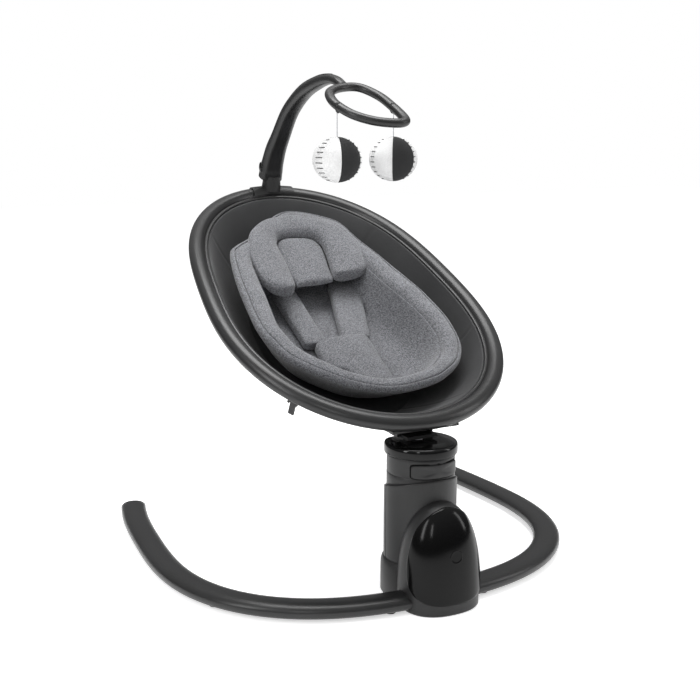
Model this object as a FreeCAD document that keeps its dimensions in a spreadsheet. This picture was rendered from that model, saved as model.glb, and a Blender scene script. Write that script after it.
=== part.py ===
import FreeCAD, Part
import math
import os

from FreeCAD import Placement, Rotation, Vector

# Baby swing: a C-shaped floor tube, a drive tower, and a tilted egg-shaped seat ring that
# sways on the tower.  Millimetres, +Z up, +Y from the tower towards the seat's head end.
# The origin is on the floor, under the middle of the tower.

doc = FreeCAD.newDocument("baby_swing")
sheet = doc.addObject("Spreadsheet::Sheet", "sizes")

SIZES = {
    # floor tube: a closed curve in plan, r = base_radius (1 + sum of cosines), open at the back
    "base_radius": 410, "base_centre_y": 262, "base_end_angle": 131,
    "tube_width": 48, "tube_height": 27, "tube_wall": 2, "foot_pad_height": 3,
    "foot_pad_radius": 9, "cap_length": 9, "cap_plug": 16, "fit_gap": 0.3,
    # tower
    "tower_radius": 60, "tower_centre_y": -5, "tower_back_y": 40, "tower_split_y": 5,
    "shell_wall": 3, "foot_top_z": 62, "foot_flare": 5, "step_z": 189, "step_slope": 15,
    "collar_radius": 56, "collar_top_z": 241, "cap_top_z": 258, "neck_hole_radius": 16,
    "plate_height": 2.9,
    # rounded control housing in front of the tower
    "dome_half_width": 67, "dome_half_depth": 57, "dome_half_height": 170, "dome_centre_y": -65,
    "dome_centre_z": 15, "panel_thickness": 2.5, "panel_half_width": 55,
    "panel_half_height": 70, "panel_centre_z": 97, "button_radius": 11, "button_travel": 1.2,
    "lens_radius": 1.5,
    # release tab
    "tab_low_z": 209, "tab_height": 24, "tab_half_angle": 46, "tab_thickness": 3,
    # sway bearing line, leaning back so that the seat's weight centres it
    "sway_lean": 8, "sway_y": 8, "sway_z": 262, "post_radius": 10, "post_length": 178,
    "bearing_outer": 17, "bearing_height": 9, "upper_bearing_drop": 27,
    "lower_bearing_drop": 150, "running_gap": 0.05,
    # recline hinge
    "hinge_y": 26, "hinge_z": 270, "hinge_pin_radius": 4.5, "knuckle_radius": 8,
    "mount_half_width": 28, "mount_depth": 70, "mount_front_y": -10, "mount_thickness": 5,
    "cheek_thickness": 5, "cheek_gap": 0.6, "saddle_thickness": 4, "saddle_lift": 13.5,
    "saddle_half_width": 62, "saddle_front_y": -22, "cheek_half_depth": 12,
    # seat ring, in its own plane tilted by seat_tilt about X
    "seat_tilt": 27.4, "ring_centre_y": 284, "ring_centre_z": 459.8, "ring_radius": 287.8,
    "ring_section_out": 12, "ring_section_drop": -6, "ring_half_width": 15,
    "ring_half_height": 13, "ring_wall": 2.5, "lip_width": 6, "lip_height": 7,
    # soft goods, measured from the ring's plane
    "sling_top": -5.6, "sling_bottom": -120, "sling_thickness": 3, "sling_floor_half": 150,
    "sling_floor_foot": -215, "sling_floor_head": 225,
    "insert_rim": -16, "insert_bottom": -113, "insert_half": 186, "insert_foot": -285,
    "insert_head": 300, "insert_taper": 46, "hollow_half": 150, "hollow_foot": -245,
    "hollow_head": 262, "hollow_floor": -94, "hollow_taper": 26,
    "head_half": 116, "head_low_u": 66, "head_high_u": 266, "head_arm": 50,
    "head_thickness": 26, "head_level": -50.5, "head_slope": 11.3, "head_pad_half": 47,
    "head_pad_low_u": 102, "head_pad_thickness": 14, "soft_gap": 3,
    "shoulder_top_u": 118, "shoulder_bottom_u": -38, "shoulder_top_x": 68,
    "shoulder_bottom_x": 42, "shoulder_width": 48, "shoulder_level": -89, "pad_thickness": 11,
    "waist_half_width": 55, "waist_top_u": -42, "waist_depth": 82, "waist_tab_half": 27,
    "waist_tab_depth": 44, "waist_level": -81, "webbing_width": 25, "webbing_thickness": 1.6,
    "buckle_half_width": 21, "buckle_half_length": 24, "buckle_height": 9,
    "buckle_button_half": 8, "buckle_button_travel": 2,
    # toy arm and toys
    "clamp_half_width": 44, "clamp_wall": 2.5, "socket_radius": 17, "socket_height": 38,
    "socket_lean": 12, "arm_width": 24, "arm_depth": 14, "plug_radius": 11, "plug_length": 21,
    "arm_button_radius": 7, "arm_button_travel": 1.5,
    "loop_centre_y": 198, "loop_centre_z": 793, "loop_half_width": 54, "loop_half_length": 75,
    "loop_tilt": 24.2, "loop_bar_radius": 5.5, "string_radius": 0.9, "string_drop": 9.2,
    "ball_half_width": 42, "ball_half_height": 38, "ball_centre_z": 704,
    # recline lever under the ring
    "lever_width": 10, "lever_length": 26, "lever_thickness": 4, "lever_pin_radius": 2,
    # drive
    "coil_radius": 14, "coil_length": 22, "coil_forward": 26, "coil_gap": 3,
    "magnet_radius": 8, "magnet_length": 10, "swing_lever_length": 36,
    "swing_lever_thickness": 6, "screw_radius": 2.5, "screw_head_radius": 4.5, "screw_length": 12,
}
for row, (alias, value) in enumerate(SIZES.items(), start=1):
    sheet.set("A%d" % row, alias)
    sheet.set("B%d" % row, str(value))
    sheet.setAlias("B%d" % row, alias)
doc.recompute()

X_AXIS = Vector(1, 0, 0)
Y_AXIS = Vector(0, 1, 0)
Z_AXIS = Vector(0, 0, 1)
NO_TURN = Rotation()
NODES = []


def size(alias):
    """A driving dimension, read from the sheet."""
    return float(sheet.get(alias))


def number(expression):
    """The value of an expression over the sheet's cells."""
    value = sheet.evalExpression(str(expression))
    return float(getattr(value, "Value", value))


def cell(text):
    """Write @name in an expression as a reference to the sheet."""
    return str(text).replace("@", "sizes.")


def bind(item, prop, expression):
    item.setExpression(prop, cell(expression))


def place(item, at, turn=NO_TURN):
    """Set a turn, and bind the position to three expressions."""
    item.Placement = Placement(Vector(), turn)
    for axis, expression in zip("xyz", at):
        bind(item, "Placement.Base." + axis, expression)


def primitive(kind, at, turn=NO_TURN, **dims):
    """A Part primitive whose dimensions are expressions over the sheet."""
    item = doc.addObject("Part::" + kind, kind.lower())
    for prop, expression in dims.items():
        bind(item, prop, expression)
    place(item, at, turn)
    return item


def box(low, dims, turn=NO_TURN):
    return primitive("Box", low, turn, Length=dims[0], Width=dims[1], Height=dims[2])


def cylinder(at, radius, height, turn=NO_TURN):
    return primitive("Cylinder", at, turn, Radius=radius, Height=height)


def cut(base, *tools):
    for tool in tools:
        result = doc.addObject("Part::Cut", "cut")
        result.Base, result.Tool = base, tool
        base = result
    return base


def common(base, tool):
    result = doc.addObject("Part::Common", "common")
    result.Base, result.Tool = base, tool
    return result


def fuse(*items):
    result = doc.addObject("Part::MultiFuse", "fuse")
    result.Shapes = list(items)
    result.Refine = True
    return result


def node(label, item):
    """Name a finished sub-part, which is written to its own file."""
    item.Label = label
    NODES.append(item)
    return item


def raw(label, shape, placement=None):
    """A sub-part whose free-form shape is worked out here from the sheet."""
    item = doc.addObject("Part::Feature", "shape")
    item.Shape = shape
    if placement:
        item.Placement = placement
    return node(label, item) if label else item


# ---------------------------------------------------------------- PartDesign helpers


def plane_of(body, role):
    return next(f for f in body.Origin.OriginFeatures if f.Role == role)


def new_sketch(body, role):
    sketch = body.newObject("Sketcher::SketchObject", "sketch")
    sketch.AttachmentSupport = [(plane_of(body, role), "")]
    sketch.MapMode = "FlatFace"
    return sketch


def bound(sketch, constraint, expression):
    index = sketch.addConstraint(constraint)
    sketch.setExpression("Constraints[%d]" % index, cell(expression))


def polygon(sketch, corners):
    """A closed outline whose corners are pairs of expressions."""
    import Sketcher

    points = [Vector(number(cell(x)), number(cell(y)), 0) for x, y in corners]
    count = len(points)
    for i in range(count):
        sketch.addGeometry(Part.LineSegment(points[i], points[(i + 1) % count]), False)
    for i in range(count):
        sketch.addConstraint(Sketcher.Constraint("Coincident", i, 2, (i + 1) % count, 1))
    for i, (x, y) in enumerate(corners):
        for kind, expression in (("DistanceX", x), ("DistanceY", y)):
            value = number(cell(expression))
            bound(sketch, Sketcher.Constraint(kind, -1, 1, i, 1, value), expression)


def disc(sketch, radius):
    import Sketcher

    value = number(cell(radius))
    index = sketch.addGeometry(Part.Circle(Vector(), Z_AXIS, value), False)
    sketch.addConstraint(Sketcher.Constraint("Coincident", index, 3, -1, 1))
    bound(sketch, Sketcher.Constraint("Radius", index, value), radius)


def pad(label, outline, length, at, turn=NO_TURN, middle=False):
    """A pad of a polygon, or of one or two circles given by their radii."""
    body = doc.addObject("PartDesign::Body", "body")
    sketch = new_sketch(body, "XY_Plane")
    if isinstance(outline[0], str):
        for radius in outline:
            disc(sketch, radius)
    else:
        polygon(sketch, outline)
    feature = body.newObject("PartDesign::Pad", "pad")
    feature.Profile = sketch
    feature.Midplane = middle
    bind(feature, "Length", length)
    body.Tip = feature
    place(body, at, turn)
    return node(label, body) if label else body


def turned(label, outline, at, turn=NO_TURN):
    """A solid of revolution: radius and height pairs, turned about its own Z axis."""
    body = doc.addObject("PartDesign::Body", "body")
    sketch = new_sketch(body, "XZ_Plane")
    polygon(sketch, outline)
    feature = body.newObject("PartDesign::Revolution", "turn")
    feature.Profile = sketch
    feature.ReferenceAxis = (sketch, ["V_Axis"])
    feature.Angle = 360
    body.Tip = feature
    place(body, at, turn)
    return node(label, body) if label else body


def soften(body, radius, wanted):
    """Fillet the edges that `wanted` picks on a body's last feature."""
    doc.recompute()
    tip = body.Tip
    names = ["Edge%d" % i for i, e in enumerate(tip.Shape.Edges, start=1) if wanted(e)]
    fillet = body.newObject("PartDesign::Fillet", "fillet")
    fillet.Base = (tip, names)
    fillet.Radius = radius
    body.Tip = fillet


def upright(edge):
    """True for an edge along its body's Z axis."""
    low, high = edge.BoundBox.ZMin, edge.BoundBox.ZMax
    return edge.BoundBox.XLength < 0.01 and edge.BoundBox.YLength < 0.01 and high > low


# ---------------------------------------------------------------- curves


def base_point(angle, out=0.0):
    """Middle line of the floor tube: r = R (1 - .231 cos a + .115 cos 2a - .079 cos 3a)."""
    a = math.radians(angle)
    wave = -0.231 * math.cos(a) + 0.115 * math.cos(2 * a) - 0.079 * math.cos(3 * a)
    r = size("base_radius") * (1 + wave) + out
    return Vector(r * math.sin(a), size("base_centre_y") - r * math.cos(a), 0)


def ring_point(angle):
    """Inner edge of the seat ring: r = R (1 + .009 cos a + .192 cos 2a + .022 cos 3a + .009 cos 4a)."""
    a = math.radians(angle)
    wave = 0.009 * math.cos(a) + 0.192 * math.cos(2 * a)
    wave += 0.022 * math.cos(3 * a) + 0.009 * math.cos(4 * a)
    r = size("ring_radius") * (1 + wave)
    return Vector(r * math.sin(a), r * math.cos(a), 0)


def along(curve, angle):
    """Unit direction of a plan curve at an angle."""
    step = 0.01
    return (curve(angle + step) - curve(angle - step)).normalize()


def outward(curve, angle):
    """Unit direction away from the inside of a plan curve."""
    ahead = along(curve, angle)
    side = Vector(-ahead.y, ahead.x, 0)
    middle = Vector(0, curve(0).y * 0.5 + curve(180).y * 0.5, 0)
    return side if side.dot(curve(angle) - middle) > 0 else side * -1


def arc_from(start, direction, end):
    """The arc that leaves start along direction and reaches end."""
    chord = end - start
    half = direction.getAngle(chord) / 2
    normal = direction.cross(chord)
    if normal.Length < 1e-6:
        return Part.LineSegment(start, end).toShape()
    bulge = chord.cross(normal).normalize() * (chord.Length / 2 * math.tan(half))
    return Part.Arc(start, start + chord * 0.5 + bulge, end).toShape()


def biarc_wire(points, directions):
    """Tangent arcs through points, two between each pair."""
    edges = []
    for i in range(len(points) - 1):
        p, q = points[i], points[i + 1]
        t, s = directions[i], directions[i + 1]
        v, w = q - p, t + s
        a = 2 * (1 - t.dot(s))
        b, c = 2 * v.dot(w), -v.dot(v)
        d = -c / b if a < 1e-9 else (-b + math.sqrt(b * b - 4 * a * c)) / (2 * a)
        joint = (p + q + (t - s) * d) * 0.5
        edges.append(arc_from(p, t, joint))
        back = arc_from(q, s * -1, joint)
        edges.append(back)
    return Part.Wire(Part.__sortEdges__(edges))


def curve_wire(curve, angles):
    return biarc_wire([curve(a) for a in angles], [along(curve, a) for a in angles])


def steps(first, last, count):
    return [first + (last - first) * i / count for i in range(count + 1)]


def pipe(wire, section):
    """Carry a closed section along a flat wire."""
    solid = wire.makePipeShell([section], True, False)
    if solid.Volume < 0:
        solid.reverse()
    return solid


def frame_at(curve, angle):
    """Position, outward direction and along direction of a plan curve."""
    return curve(angle), outward(curve, angle), along(curve, angle)


def stadium(curve, angle, width, height):
    """A flat oval across a curve: two straight sides joined by half circles."""
    at, out, ahead = frame_at(curve, angle)
    r, flat = height / 2, (width - height) / 2
    a, b = at + out * flat, at - out * flat
    up = Z_AXIS * r
    edges = [
        Part.LineSegment(b + up, a + up).toShape(),
        Part.Arc(a + up, a + out * r, a - up).toShape(),
        Part.LineSegment(a - up, b - up).toShape(),
        Part.Arc(b - up, b - out * r, b + up).toShape(),
    ]
    return Part.Wire(edges)


# ---------------------------------------------------------------- floor tube

TUBE_Z = size("foot_pad_height") + size("tube_height") / 2
TUBE_JOIN_ANGLE = 5
TUBE_STEPS = 6
END_ANGLE = size("base_end_angle")


def tube_part(side, grow=0.0, inner=False):
    """One half of the floor tube, from inside the tower's foot to its open end."""
    angles = steps(TUBE_JOIN_ANGLE, END_ANGLE, TUBE_STEPS)
    wire = curve_wire(base_point, angles)
    width, height = size("tube_width") + 2 * grow, size("tube_height") + 2 * grow
    solid = pipe(wire, stadium(base_point, angles[0], width, height))
    if inner:
        wall = size("tube_wall")
        hole = stadium(base_point, angles[0], width - 2 * wall, height - 2 * wall)
        solid = solid.cut(pipe(wire, hole))
    solid.translate(Z_AXIS * TUBE_Z)
    return solid if side > 0 else solid.mirror(Vector(), X_AXIS)


tube_envelopes = []
for side, name in ((-1, "left"), (1, "right")):
    raw("base_tube_" + name, tube_part(side, inner=True))
    tube_envelopes.append(raw(None, tube_part(side, grow=size("fit_gap"))))


def end_cap(side):
    """Closing cap: an outer disc the size of the tube and a plug inside it."""
    angle = side * END_ANGLE
    at, out, ahead = frame_at(base_point, angle)
    away = ahead * side
    wall, gap = size("tube_wall"), size("fit_gap")
    face = Part.Face(stadium(base_point, angle, size("tube_width"), size("tube_height")))
    outer = face.extrude(away * size("cap_length"))
    trim = 2 * (wall + gap)
    plug_wire = stadium(base_point, angle, size("tube_width") - trim, size("tube_height") - trim)
    plug = Part.Face(plug_wire).extrude(away * -size("cap_plug"))
    solid = outer.fuse(plug).removeSplitter()
    far = [e for e in solid.Edges if (e.CenterOfMass - at).dot(away) > size("cap_length") - 0.1]
    solid = solid.makeFillet(size("cap_length") / 3, far)
    solid.translate(Z_AXIS * TUBE_Z)
    return solid


for side, name in ((-1, "left"), (1, "right")):
    raw("end_cap_" + name, end_cap(side))

FOOT_PAD_ANGLES = (-124, -62, -15, 15, 62, 124)
pads = []
for angle in FOOT_PAD_ANGLES:
    spot = base_point(angle)
    disc_shape = Part.makeCylinder(size("foot_pad_radius"), size("foot_pad_height"), spot)
    pads.append(disc_shape)
raw("base_feet", Part.makeCompound(pads))

# ---------------------------------------------------------------- tower shells


def d_plan(radius, low, height, back="@tower_back_y"):
    """A round column with a flat back."""
    round_part = cylinder(("0", "@tower_centre_y", low), radius, height)
    room = box(("-200", "-400", low), ("400", "400 + " + back, height))
    return common(round_part, room)


def dome(shrink="0"):
    """The egg-like control housing in front of the tower, above its bottom plate."""
    egg = primitive("Ellipsoid", ("0", "@dome_centre_y", "@dome_centre_z"),
                    Radius1="@dome_half_height - " + shrink,
                    Radius2="@dome_half_width - " + shrink,
                    Radius3="@dome_half_depth - " + shrink, Angle1="-90", Angle2="90")
    above = box(("-200", "-250", "@plate_height"), ("400", "300", "400"))
    return common(egg, above)


def foot_skirt(shrink="0"):
    """Flared lower end of the tower."""
    cone = primitive("Cone", ("0", "@tower_centre_y", "@plate_height"),
                     Radius1="@tower_radius + @foot_flare - " + shrink,
                     Radius2="@tower_radius - " + shrink,
                     Height="@foot_top_z - @plate_height")
    room = box(("-200", "-400", "@plate_height"),
               ("400", "400 + @tower_back_y + @foot_flare - " + shrink, "@foot_top_z"))
    return common(cone, room)


column_room = cylinder(("0", "@tower_centre_y", "@foot_top_z"), "@tower_radius + @fit_gap", "400")
foot_outer = fuse(cut(dome(), column_room), foot_skirt())
foot_inner = fuse(cut(dome("@shell_wall"), column_room), foot_skirt("@shell_wall"))
button_hole = cylinder(("0", "@dome_centre_y", "@panel_centre_z"),
                       "@button_radius + @fit_gap", "100", Rotation(X_AXIS, 90))
node("foot_housing", cut(foot_outer, foot_inner, *tube_envelopes, button_hole))

plate = fuse(cylinder(("0", "@tower_centre_y", "0"), "@tower_radius", "@plate_height - 0.2"),
             common(primitive("Ellipsoid", ("0", "@dome_centre_y", "0"),
                              Radius1="@dome_half_height", Radius2="@dome_half_width - 4",
                              Radius3="@dome_half_depth - 4", Angle1="-90", Angle2="90"),
                    box(("-200", "-200", "0"), ("400", "300", "@plate_height - 0.2"))))
node("foot_plate", plate)


def below_step(gap):
    """Everything under the sloping top edge of the lower column."""
    turn = Rotation(X_AXIS, -size("step_slope"))
    return box(("-200", "-200 * cos(@step_slope * 1deg) - 400 * sin(@step_slope * 1deg)",
                "@step_z + 200 * sin(@step_slope * 1deg) - 400 * cos(@step_slope * 1deg) + " + gap),
               ("400", "400", "400"), turn)


def column(radius, shrink, low, height, gap, above=False):
    """A flat-backed column cut off along the sloping step."""
    back = "@tower_back_y - " + shrink
    solid = d_plan(radius + " - " + shrink, low, height, back)
    return cut(solid, below_step(gap)) if above else common(solid, below_step(gap))


lower_outer = column("@tower_radius", "0", "@foot_top_z + 0.3", "300", "0")
lower_bore = d_plan("@tower_radius - @shell_wall", "0", "400", "@tower_back_y - @shell_wall")
lower_shell = cut(lower_outer, lower_bore)
front_room = box(("-200", "-200", "0"), ("400", "200 + @tower_split_y", "400"))
node("column_front_shell", common(lower_shell, front_room))
rear_room = box(("-200", "@tower_split_y + 0.2", "0"), ("400", "200", "400"))
inlet_hole = cylinder(("0", "0", "@foot_top_z + 24"), "6.2", "80", Rotation(X_AXIS, -90))
node("column_rear_shell", cut(common(lower_shell, rear_room), inlet_hole))

collar_outer = d_plan("@collar_radius", "@foot_top_z + 40", "@collar_top_z - @foot_top_z - 40.3",
                      "@tower_back_y - @shell_wall - 0.3")
collar_bore = d_plan("@collar_radius - @shell_wall", "0", "400",
                     "@tower_back_y - 2 * @shell_wall - 0.3")
tab_window_room = box(("-@collar_radius * sin((@tab_half_angle + 1) * 1deg)", "-200", "@tab_low_z - 1"),
                      ("2 * @collar_radius * sin((@tab_half_angle + 1) * 1deg)", "200 - 20",
                       "@tab_height + 2"))
node("upper_collar", cut(collar_outer, collar_bore, tab_window_room))

tab_outer = cylinder(("0", "@tower_centre_y", "@tab_low_z"), "@collar_radius + 1.5", "@tab_height")
tab_inner = cylinder(("0", "@tower_centre_y", "@tab_low_z"),
                     "@collar_radius + 1.5 - @tab_thickness", "@tab_height")
tab_room = box(("-@collar_radius * sin(@tab_half_angle * 1deg)", "-200", "@tab_low_z"),
               ("2 * @collar_radius * sin(@tab_half_angle * 1deg)", "200 - 20", "@tab_height"))
node("release_tab", common(cut(tab_outer, tab_inner), tab_room))

cap_outer = d_plan("@tower_radius + 1", "@collar_top_z", "@cap_top_z - @collar_top_z",
                   "@tower_back_y + 1")
cap_bore = d_plan("@tower_radius - 2", "@collar_top_z - 1",
                  "@cap_top_z - @collar_top_z - @shell_wall + 1", "@tower_back_y - 2")
neck_hole = cylinder(("0", "@sway_y", "@collar_top_z - 10"), "@neck_hole_radius", "60")
node("top_cap", cut(cap_outer, cap_bore, neck_hole))

# ---------------------------------------------------------------- control panel

panel_skin = cut(dome("-@panel_thickness"), dome("-0.2"))
panel_outline = primitive("Ellipsoid", ("0", "-150", "@panel_centre_z"),
                          Radius1="@panel_half_height", Radius2="@panel_half_width",
                          Radius3="100", Angle1="-90", Angle2="90")
panel_hole = cylinder(("0", "-60", "@panel_centre_z"), "@button_radius + @fit_gap", "120",
                      Rotation(X_AXIS, 90))
panel_clear = cylinder(("0", "@tower_centre_y", "0"), "@tower_radius + @fit_gap", "400")
lens_hole = cylinder(("@button_radius + 5", "-60", "@panel_centre_z - 6"), "@lens_radius + 0.1",
                     "120", Rotation(X_AXIS, 90))
node("control_panel", cut(common(panel_skin, panel_outline), panel_hole, panel_clear, lens_hole))

button_skin = cut(dome("-@panel_thickness"), dome("@shell_wall + 1"))
node("power_button", common(button_skin, cylinder(("0", "-60", "@panel_centre_z"),
                                                  "@button_radius", "120", Rotation(X_AXIS, 90))))
node("indicator_lens", common(cut(dome("-@panel_thickness"), dome("-0.2")),
                              cylinder(("@button_radius + 5", "-60", "@panel_centre_z - 6"),
                                       "@lens_radius", "120", Rotation(X_AXIS, 90))))
pad("control_board", (("-26", "-22"), ("26", "-22"), ("26", "22"), ("-26", "22")), "1.6",
    ("0", "-84", "@panel_centre_z - 8"), Rotation(X_AXIS, 90))

# ---------------------------------------------------------------- sway drive

LEAN = Rotation(X_AXIS, -size("sway_lean"))


def on_sway(drop, forward="0"):
    """A point a given drop below the top of the leaning sway line, and forward of it."""
    return ("0",
            "@sway_y - (%s) * sin(@sway_lean * 1deg) - (%s) * cos(@sway_lean * 1deg)" % (drop, forward),
            "@sway_z - (%s) * cos(@sway_lean * 1deg) + (%s) * sin(@sway_lean * 1deg)" % (drop, forward))


pad("sway_post", ("@post_radius",), "@post_length", on_sway("@post_length"), LEAN)
for name in ("upper", "lower"):
    drop = "@%s_bearing_drop" % name
    pad(name + "_bearing", ("@bearing_outer", "@post_radius + @running_gap"), "@bearing_height",
        on_sway(drop), LEAN)
    seat_box = box(("-@tower_radius", "-@tower_radius", "0"),
                   ("2 * @tower_radius", "2 * @tower_radius + 30", "@bearing_height"), LEAN)
    place(seat_box, on_sway(drop), LEAN)
    bind(seat_box, "Placement.Base.x", "-@tower_radius")
    bind(seat_box, "Placement.Base.y", "%s - 70 * cos(@sway_lean * 1deg)" % on_sway(drop)[1])
    bind(seat_box, "Placement.Base.z", "%s + 70 * sin(@sway_lean * 1deg)" % on_sway(drop)[2])
    inside = d_plan("@collar_radius - @shell_wall - 0.3", "0", "400",
                    "@tower_back_y - 2 * @shell_wall - 0.6")
    race = cylinder(on_sway(drop + " + 20"), "@bearing_outer + 0.1", "60", LEAN)
    node(name + "_bearing_web", cut(common(seat_box, inside), race))

coil_drop = "(@lower_bearing_drop - @bearing_height)"
magnet_drop = "(%s - @coil_length - @coil_gap)" % coil_drop
lever_drop = "(%s - @magnet_length)" % magnet_drop
lever_body = box(on_sway(lever_drop, "@swing_lever_length"),
                 ("2 * @magnet_radius", "@swing_lever_length", "@swing_lever_thickness"), LEAN)
bind(lever_body, "Placement.Base.x", "-@magnet_radius")
hub = cylinder(on_sway(lever_drop), "@post_radius + 4", "@swing_lever_thickness", LEAN)
post_hole = cylinder(on_sway("@post_length"), "@post_radius", "@post_length", LEAN)
node("swing_lever", cut(fuse(lever_body, hub), post_hole))
pad("drive_magnet", ("@magnet_radius",), "@magnet_length", on_sway(magnet_drop, "@coil_forward"), LEAN)
pad("drive_coil", ("@coil_radius", "4"), "@coil_length", on_sway(coil_drop, "@coil_forward"), LEAN)

pad("dc_inlet", ("6", "2.8"), "12", ("0", "@tower_back_y + 1", "@foot_top_z + 24"),
    Rotation(X_AXIS, 90))

# ---------------------------------------------------------------- seat mount and recline hinge

mount_base = box(("-@mount_half_width", "@mount_front_y", "@sway_z"),
                 ("2 * @mount_half_width", "@mount_depth", "@mount_thickness"))
mount_web = box(("-@mount_half_width", "@hinge_y - @knuckle_radius", "@sway_z"),
                ("2 * @mount_half_width", "2 * @knuckle_radius", "@hinge_z - @sway_z"))
knuckle = cylinder(("-@mount_half_width", "@hinge_y", "@hinge_z"), "@knuckle_radius",
                   "2 * @mount_half_width", Rotation(Y_AXIS, 90))
pin_bore = cylinder(("-100", "@hinge_y", "@hinge_z"), "@hinge_pin_radius + @running_gap", "200",
                    Rotation(Y_AXIS, 90))
post_top = cylinder(on_sway("30"), "@post_radius", "60", LEAN)
post_top_trim = box(("-50", "-50", "@sway_z + 2"), ("100", "150", "100"))
post_socket = cut(post_top, post_top_trim)
node("seat_mount", cut(fuse(mount_base, mount_web, knuckle), pin_bore, post_socket))

cheek_out = "@mount_half_width + @cheek_gap"
pad("recline_pin", ("@hinge_pin_radius",), "2 * (%s + @cheek_thickness)" % cheek_out,
    ("-(%s + @cheek_thickness)" % cheek_out, "@hinge_y", "@hinge_z"), Rotation(Y_AXIS, 90))

TILT = Rotation(X_AXIS, size("seat_tilt"))
SEAT = Placement(Vector(0, size("ring_centre_y"), size("ring_centre_z")), TILT)
RING_STEPS = 8


def ring_ellipse(half_width, half_height):
    """Full oval section of the ring at its head end."""
    at, out, _ = frame_at(ring_point, 0)
    centre = at + out * size("ring_section_out") + Z_AXIS * size("ring_section_drop")
    long_axis, short_axis = (out, Z_AXIS) if half_width > half_height else (Z_AXIS, out)
    major, minor = max(half_width, half_height), min(half_width, half_height)
    return Part.Ellipse(centre + long_axis * major, centre + short_axis * minor, centre)


def ring_pipe(section):
    """Carry a section round the ring as two mirrored halves joined at head and foot."""
    half = pipe(curve_wire(ring_point, steps(0, 180, RING_STEPS)), section)
    other = half.mirror(Vector(), X_AXIS)
    return half.fuse(other).removeSplitter()


def ring_shell(upper):
    """Upper or lower half of the hollow ring."""
    a, b, wall = size("ring_half_width"), size("ring_half_height"), size("ring_wall")
    outer = Part.Wire([ring_ellipse(a, b).toShape()])
    inner = Part.Wire([ring_ellipse(a - wall, b - wall).toShape()])
    at, out, ahead = frame_at(ring_point, 0)
    centre = at + out * size("ring_section_out") + Z_AXIS * size("ring_section_drop")
    gap = 0.1
    sign = 1 if upper else -1
    low = centre + Z_AXIS * (sign * gap)
    reach = 2 * a
    corners = [low - out * reach, low + out * reach,
               low + out * reach + Z_AXIS * (sign * reach),
               low - out * reach + Z_AXIS * (sign * reach)]
    room = Part.Face(Part.makePolygon(corners + corners[:1]))
    face = Part.Face(outer).cut(Part.Face(inner)).common(room)
    return ring_pipe(face.Faces[0].OuterWire)


raw("ring_upper_shell", ring_shell(True), SEAT)
raw("ring_lower_shell", ring_shell(False), SEAT)


def lip_section():
    at, out, _ = frame_at(ring_point, 0)
    edge = size("ring_section_out") - size("ring_half_width") - 0.2
    inner, top = edge - size("lip_width"), 2.0
    low = top - size("lip_height")
    spots = ((edge, low), (edge, top), (inner, top), (inner, low))
    corners = [at + out * o + Z_AXIS * l for o, l in spots]
    return Part.makePolygon(corners + corners[:1])


raw("ring_lip", ring_pipe(lip_section()), SEAT)

clearance = size("fit_gap")
ring_room = ring_pipe(Part.Wire([ring_ellipse(size("ring_half_width") + clearance,
                                              size("ring_half_height") + clearance).toShape()]))
ring_envelope = raw(None, ring_room, SEAT)

cheeks = []
for side in ("-(%s) - @cheek_thickness" % cheek_out, cheek_out):
    cheeks.append(box((side, "@hinge_y - @cheek_half_depth", "@hinge_z - @knuckle_radius"),
                      ("@cheek_thickness", "2 * @cheek_half_depth", "@knuckle_radius + @saddle_lift")))
saddle_plate = box(("-@saddle_half_width", "@saddle_front_y",
                    "@hinge_z + @saddle_lift - @saddle_thickness"),
                   ("2 * @saddle_half_width", "@hinge_y - @saddle_front_y", "@saddle_thickness"))
saddle = cut(fuse(saddle_plate, *cheeks), ring_envelope)
pin_hole = cylinder(("-100", "@hinge_y", "@hinge_z"), "@hinge_pin_radius", "200",
                    Rotation(Y_AXIS, 90))
node("seat_saddle", cut(saddle, pin_hole))

# ---------------------------------------------------------------- soft goods


def egg(half_width, foot, head, level, count=16):
    """Closed outline x = w sin a, u = middle + half cos a, slightly fuller at the head."""
    middle, half = (foot + head) / 2, (head - foot) / 2
    points = []
    for i in range(count):
        a = 2 * math.pi * i / count
        full = 1 + 0.06 * math.cos(a)
        points.append(Vector(half_width * math.sin(a) * full, middle + half * math.cos(a), level))
    curve = Part.BSplineCurve()
    curve.interpolate(points, PeriodicFlag=True)
    return Part.Wire([curve.toShape()])


def ring_outline(offset, level, count=24):
    """The ring's inner edge moved outwards by offset."""
    points = []
    for i in range(count):
        at, out, _ = frame_at(ring_point, 360.0 * i / count)
        points.append(at + out * offset + Z_AXIS * level)
    curve = Part.BSplineCurve()
    curve.interpolate(points, PeriodicFlag=True)
    return Part.Wire([curve.toShape()])


def sling():
    """A fabric bowl hung from the lip: an outer loft less an inner one."""
    thick, top, bottom = size("sling_thickness"), size("sling_top"), size("sling_bottom")
    half, foot, head = size("sling_floor_half"), size("sling_floor_foot"), size("sling_floor_head")
    edge = size("ring_section_out") - size("ring_half_width") - 1.5
    outer = Part.makeLoft([ring_outline(edge, top), egg(half, foot, head, bottom)], True, True)
    rise = (top - bottom) * 0.04
    inner = Part.makeLoft([ring_outline(edge - thick, top + rise),
                           egg(half - thick, foot + thick, head - thick, bottom + thick)],
                          True, True)
    return outer.cut(inner)


raw("fabric_sling", sling(), SEAT)


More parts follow.
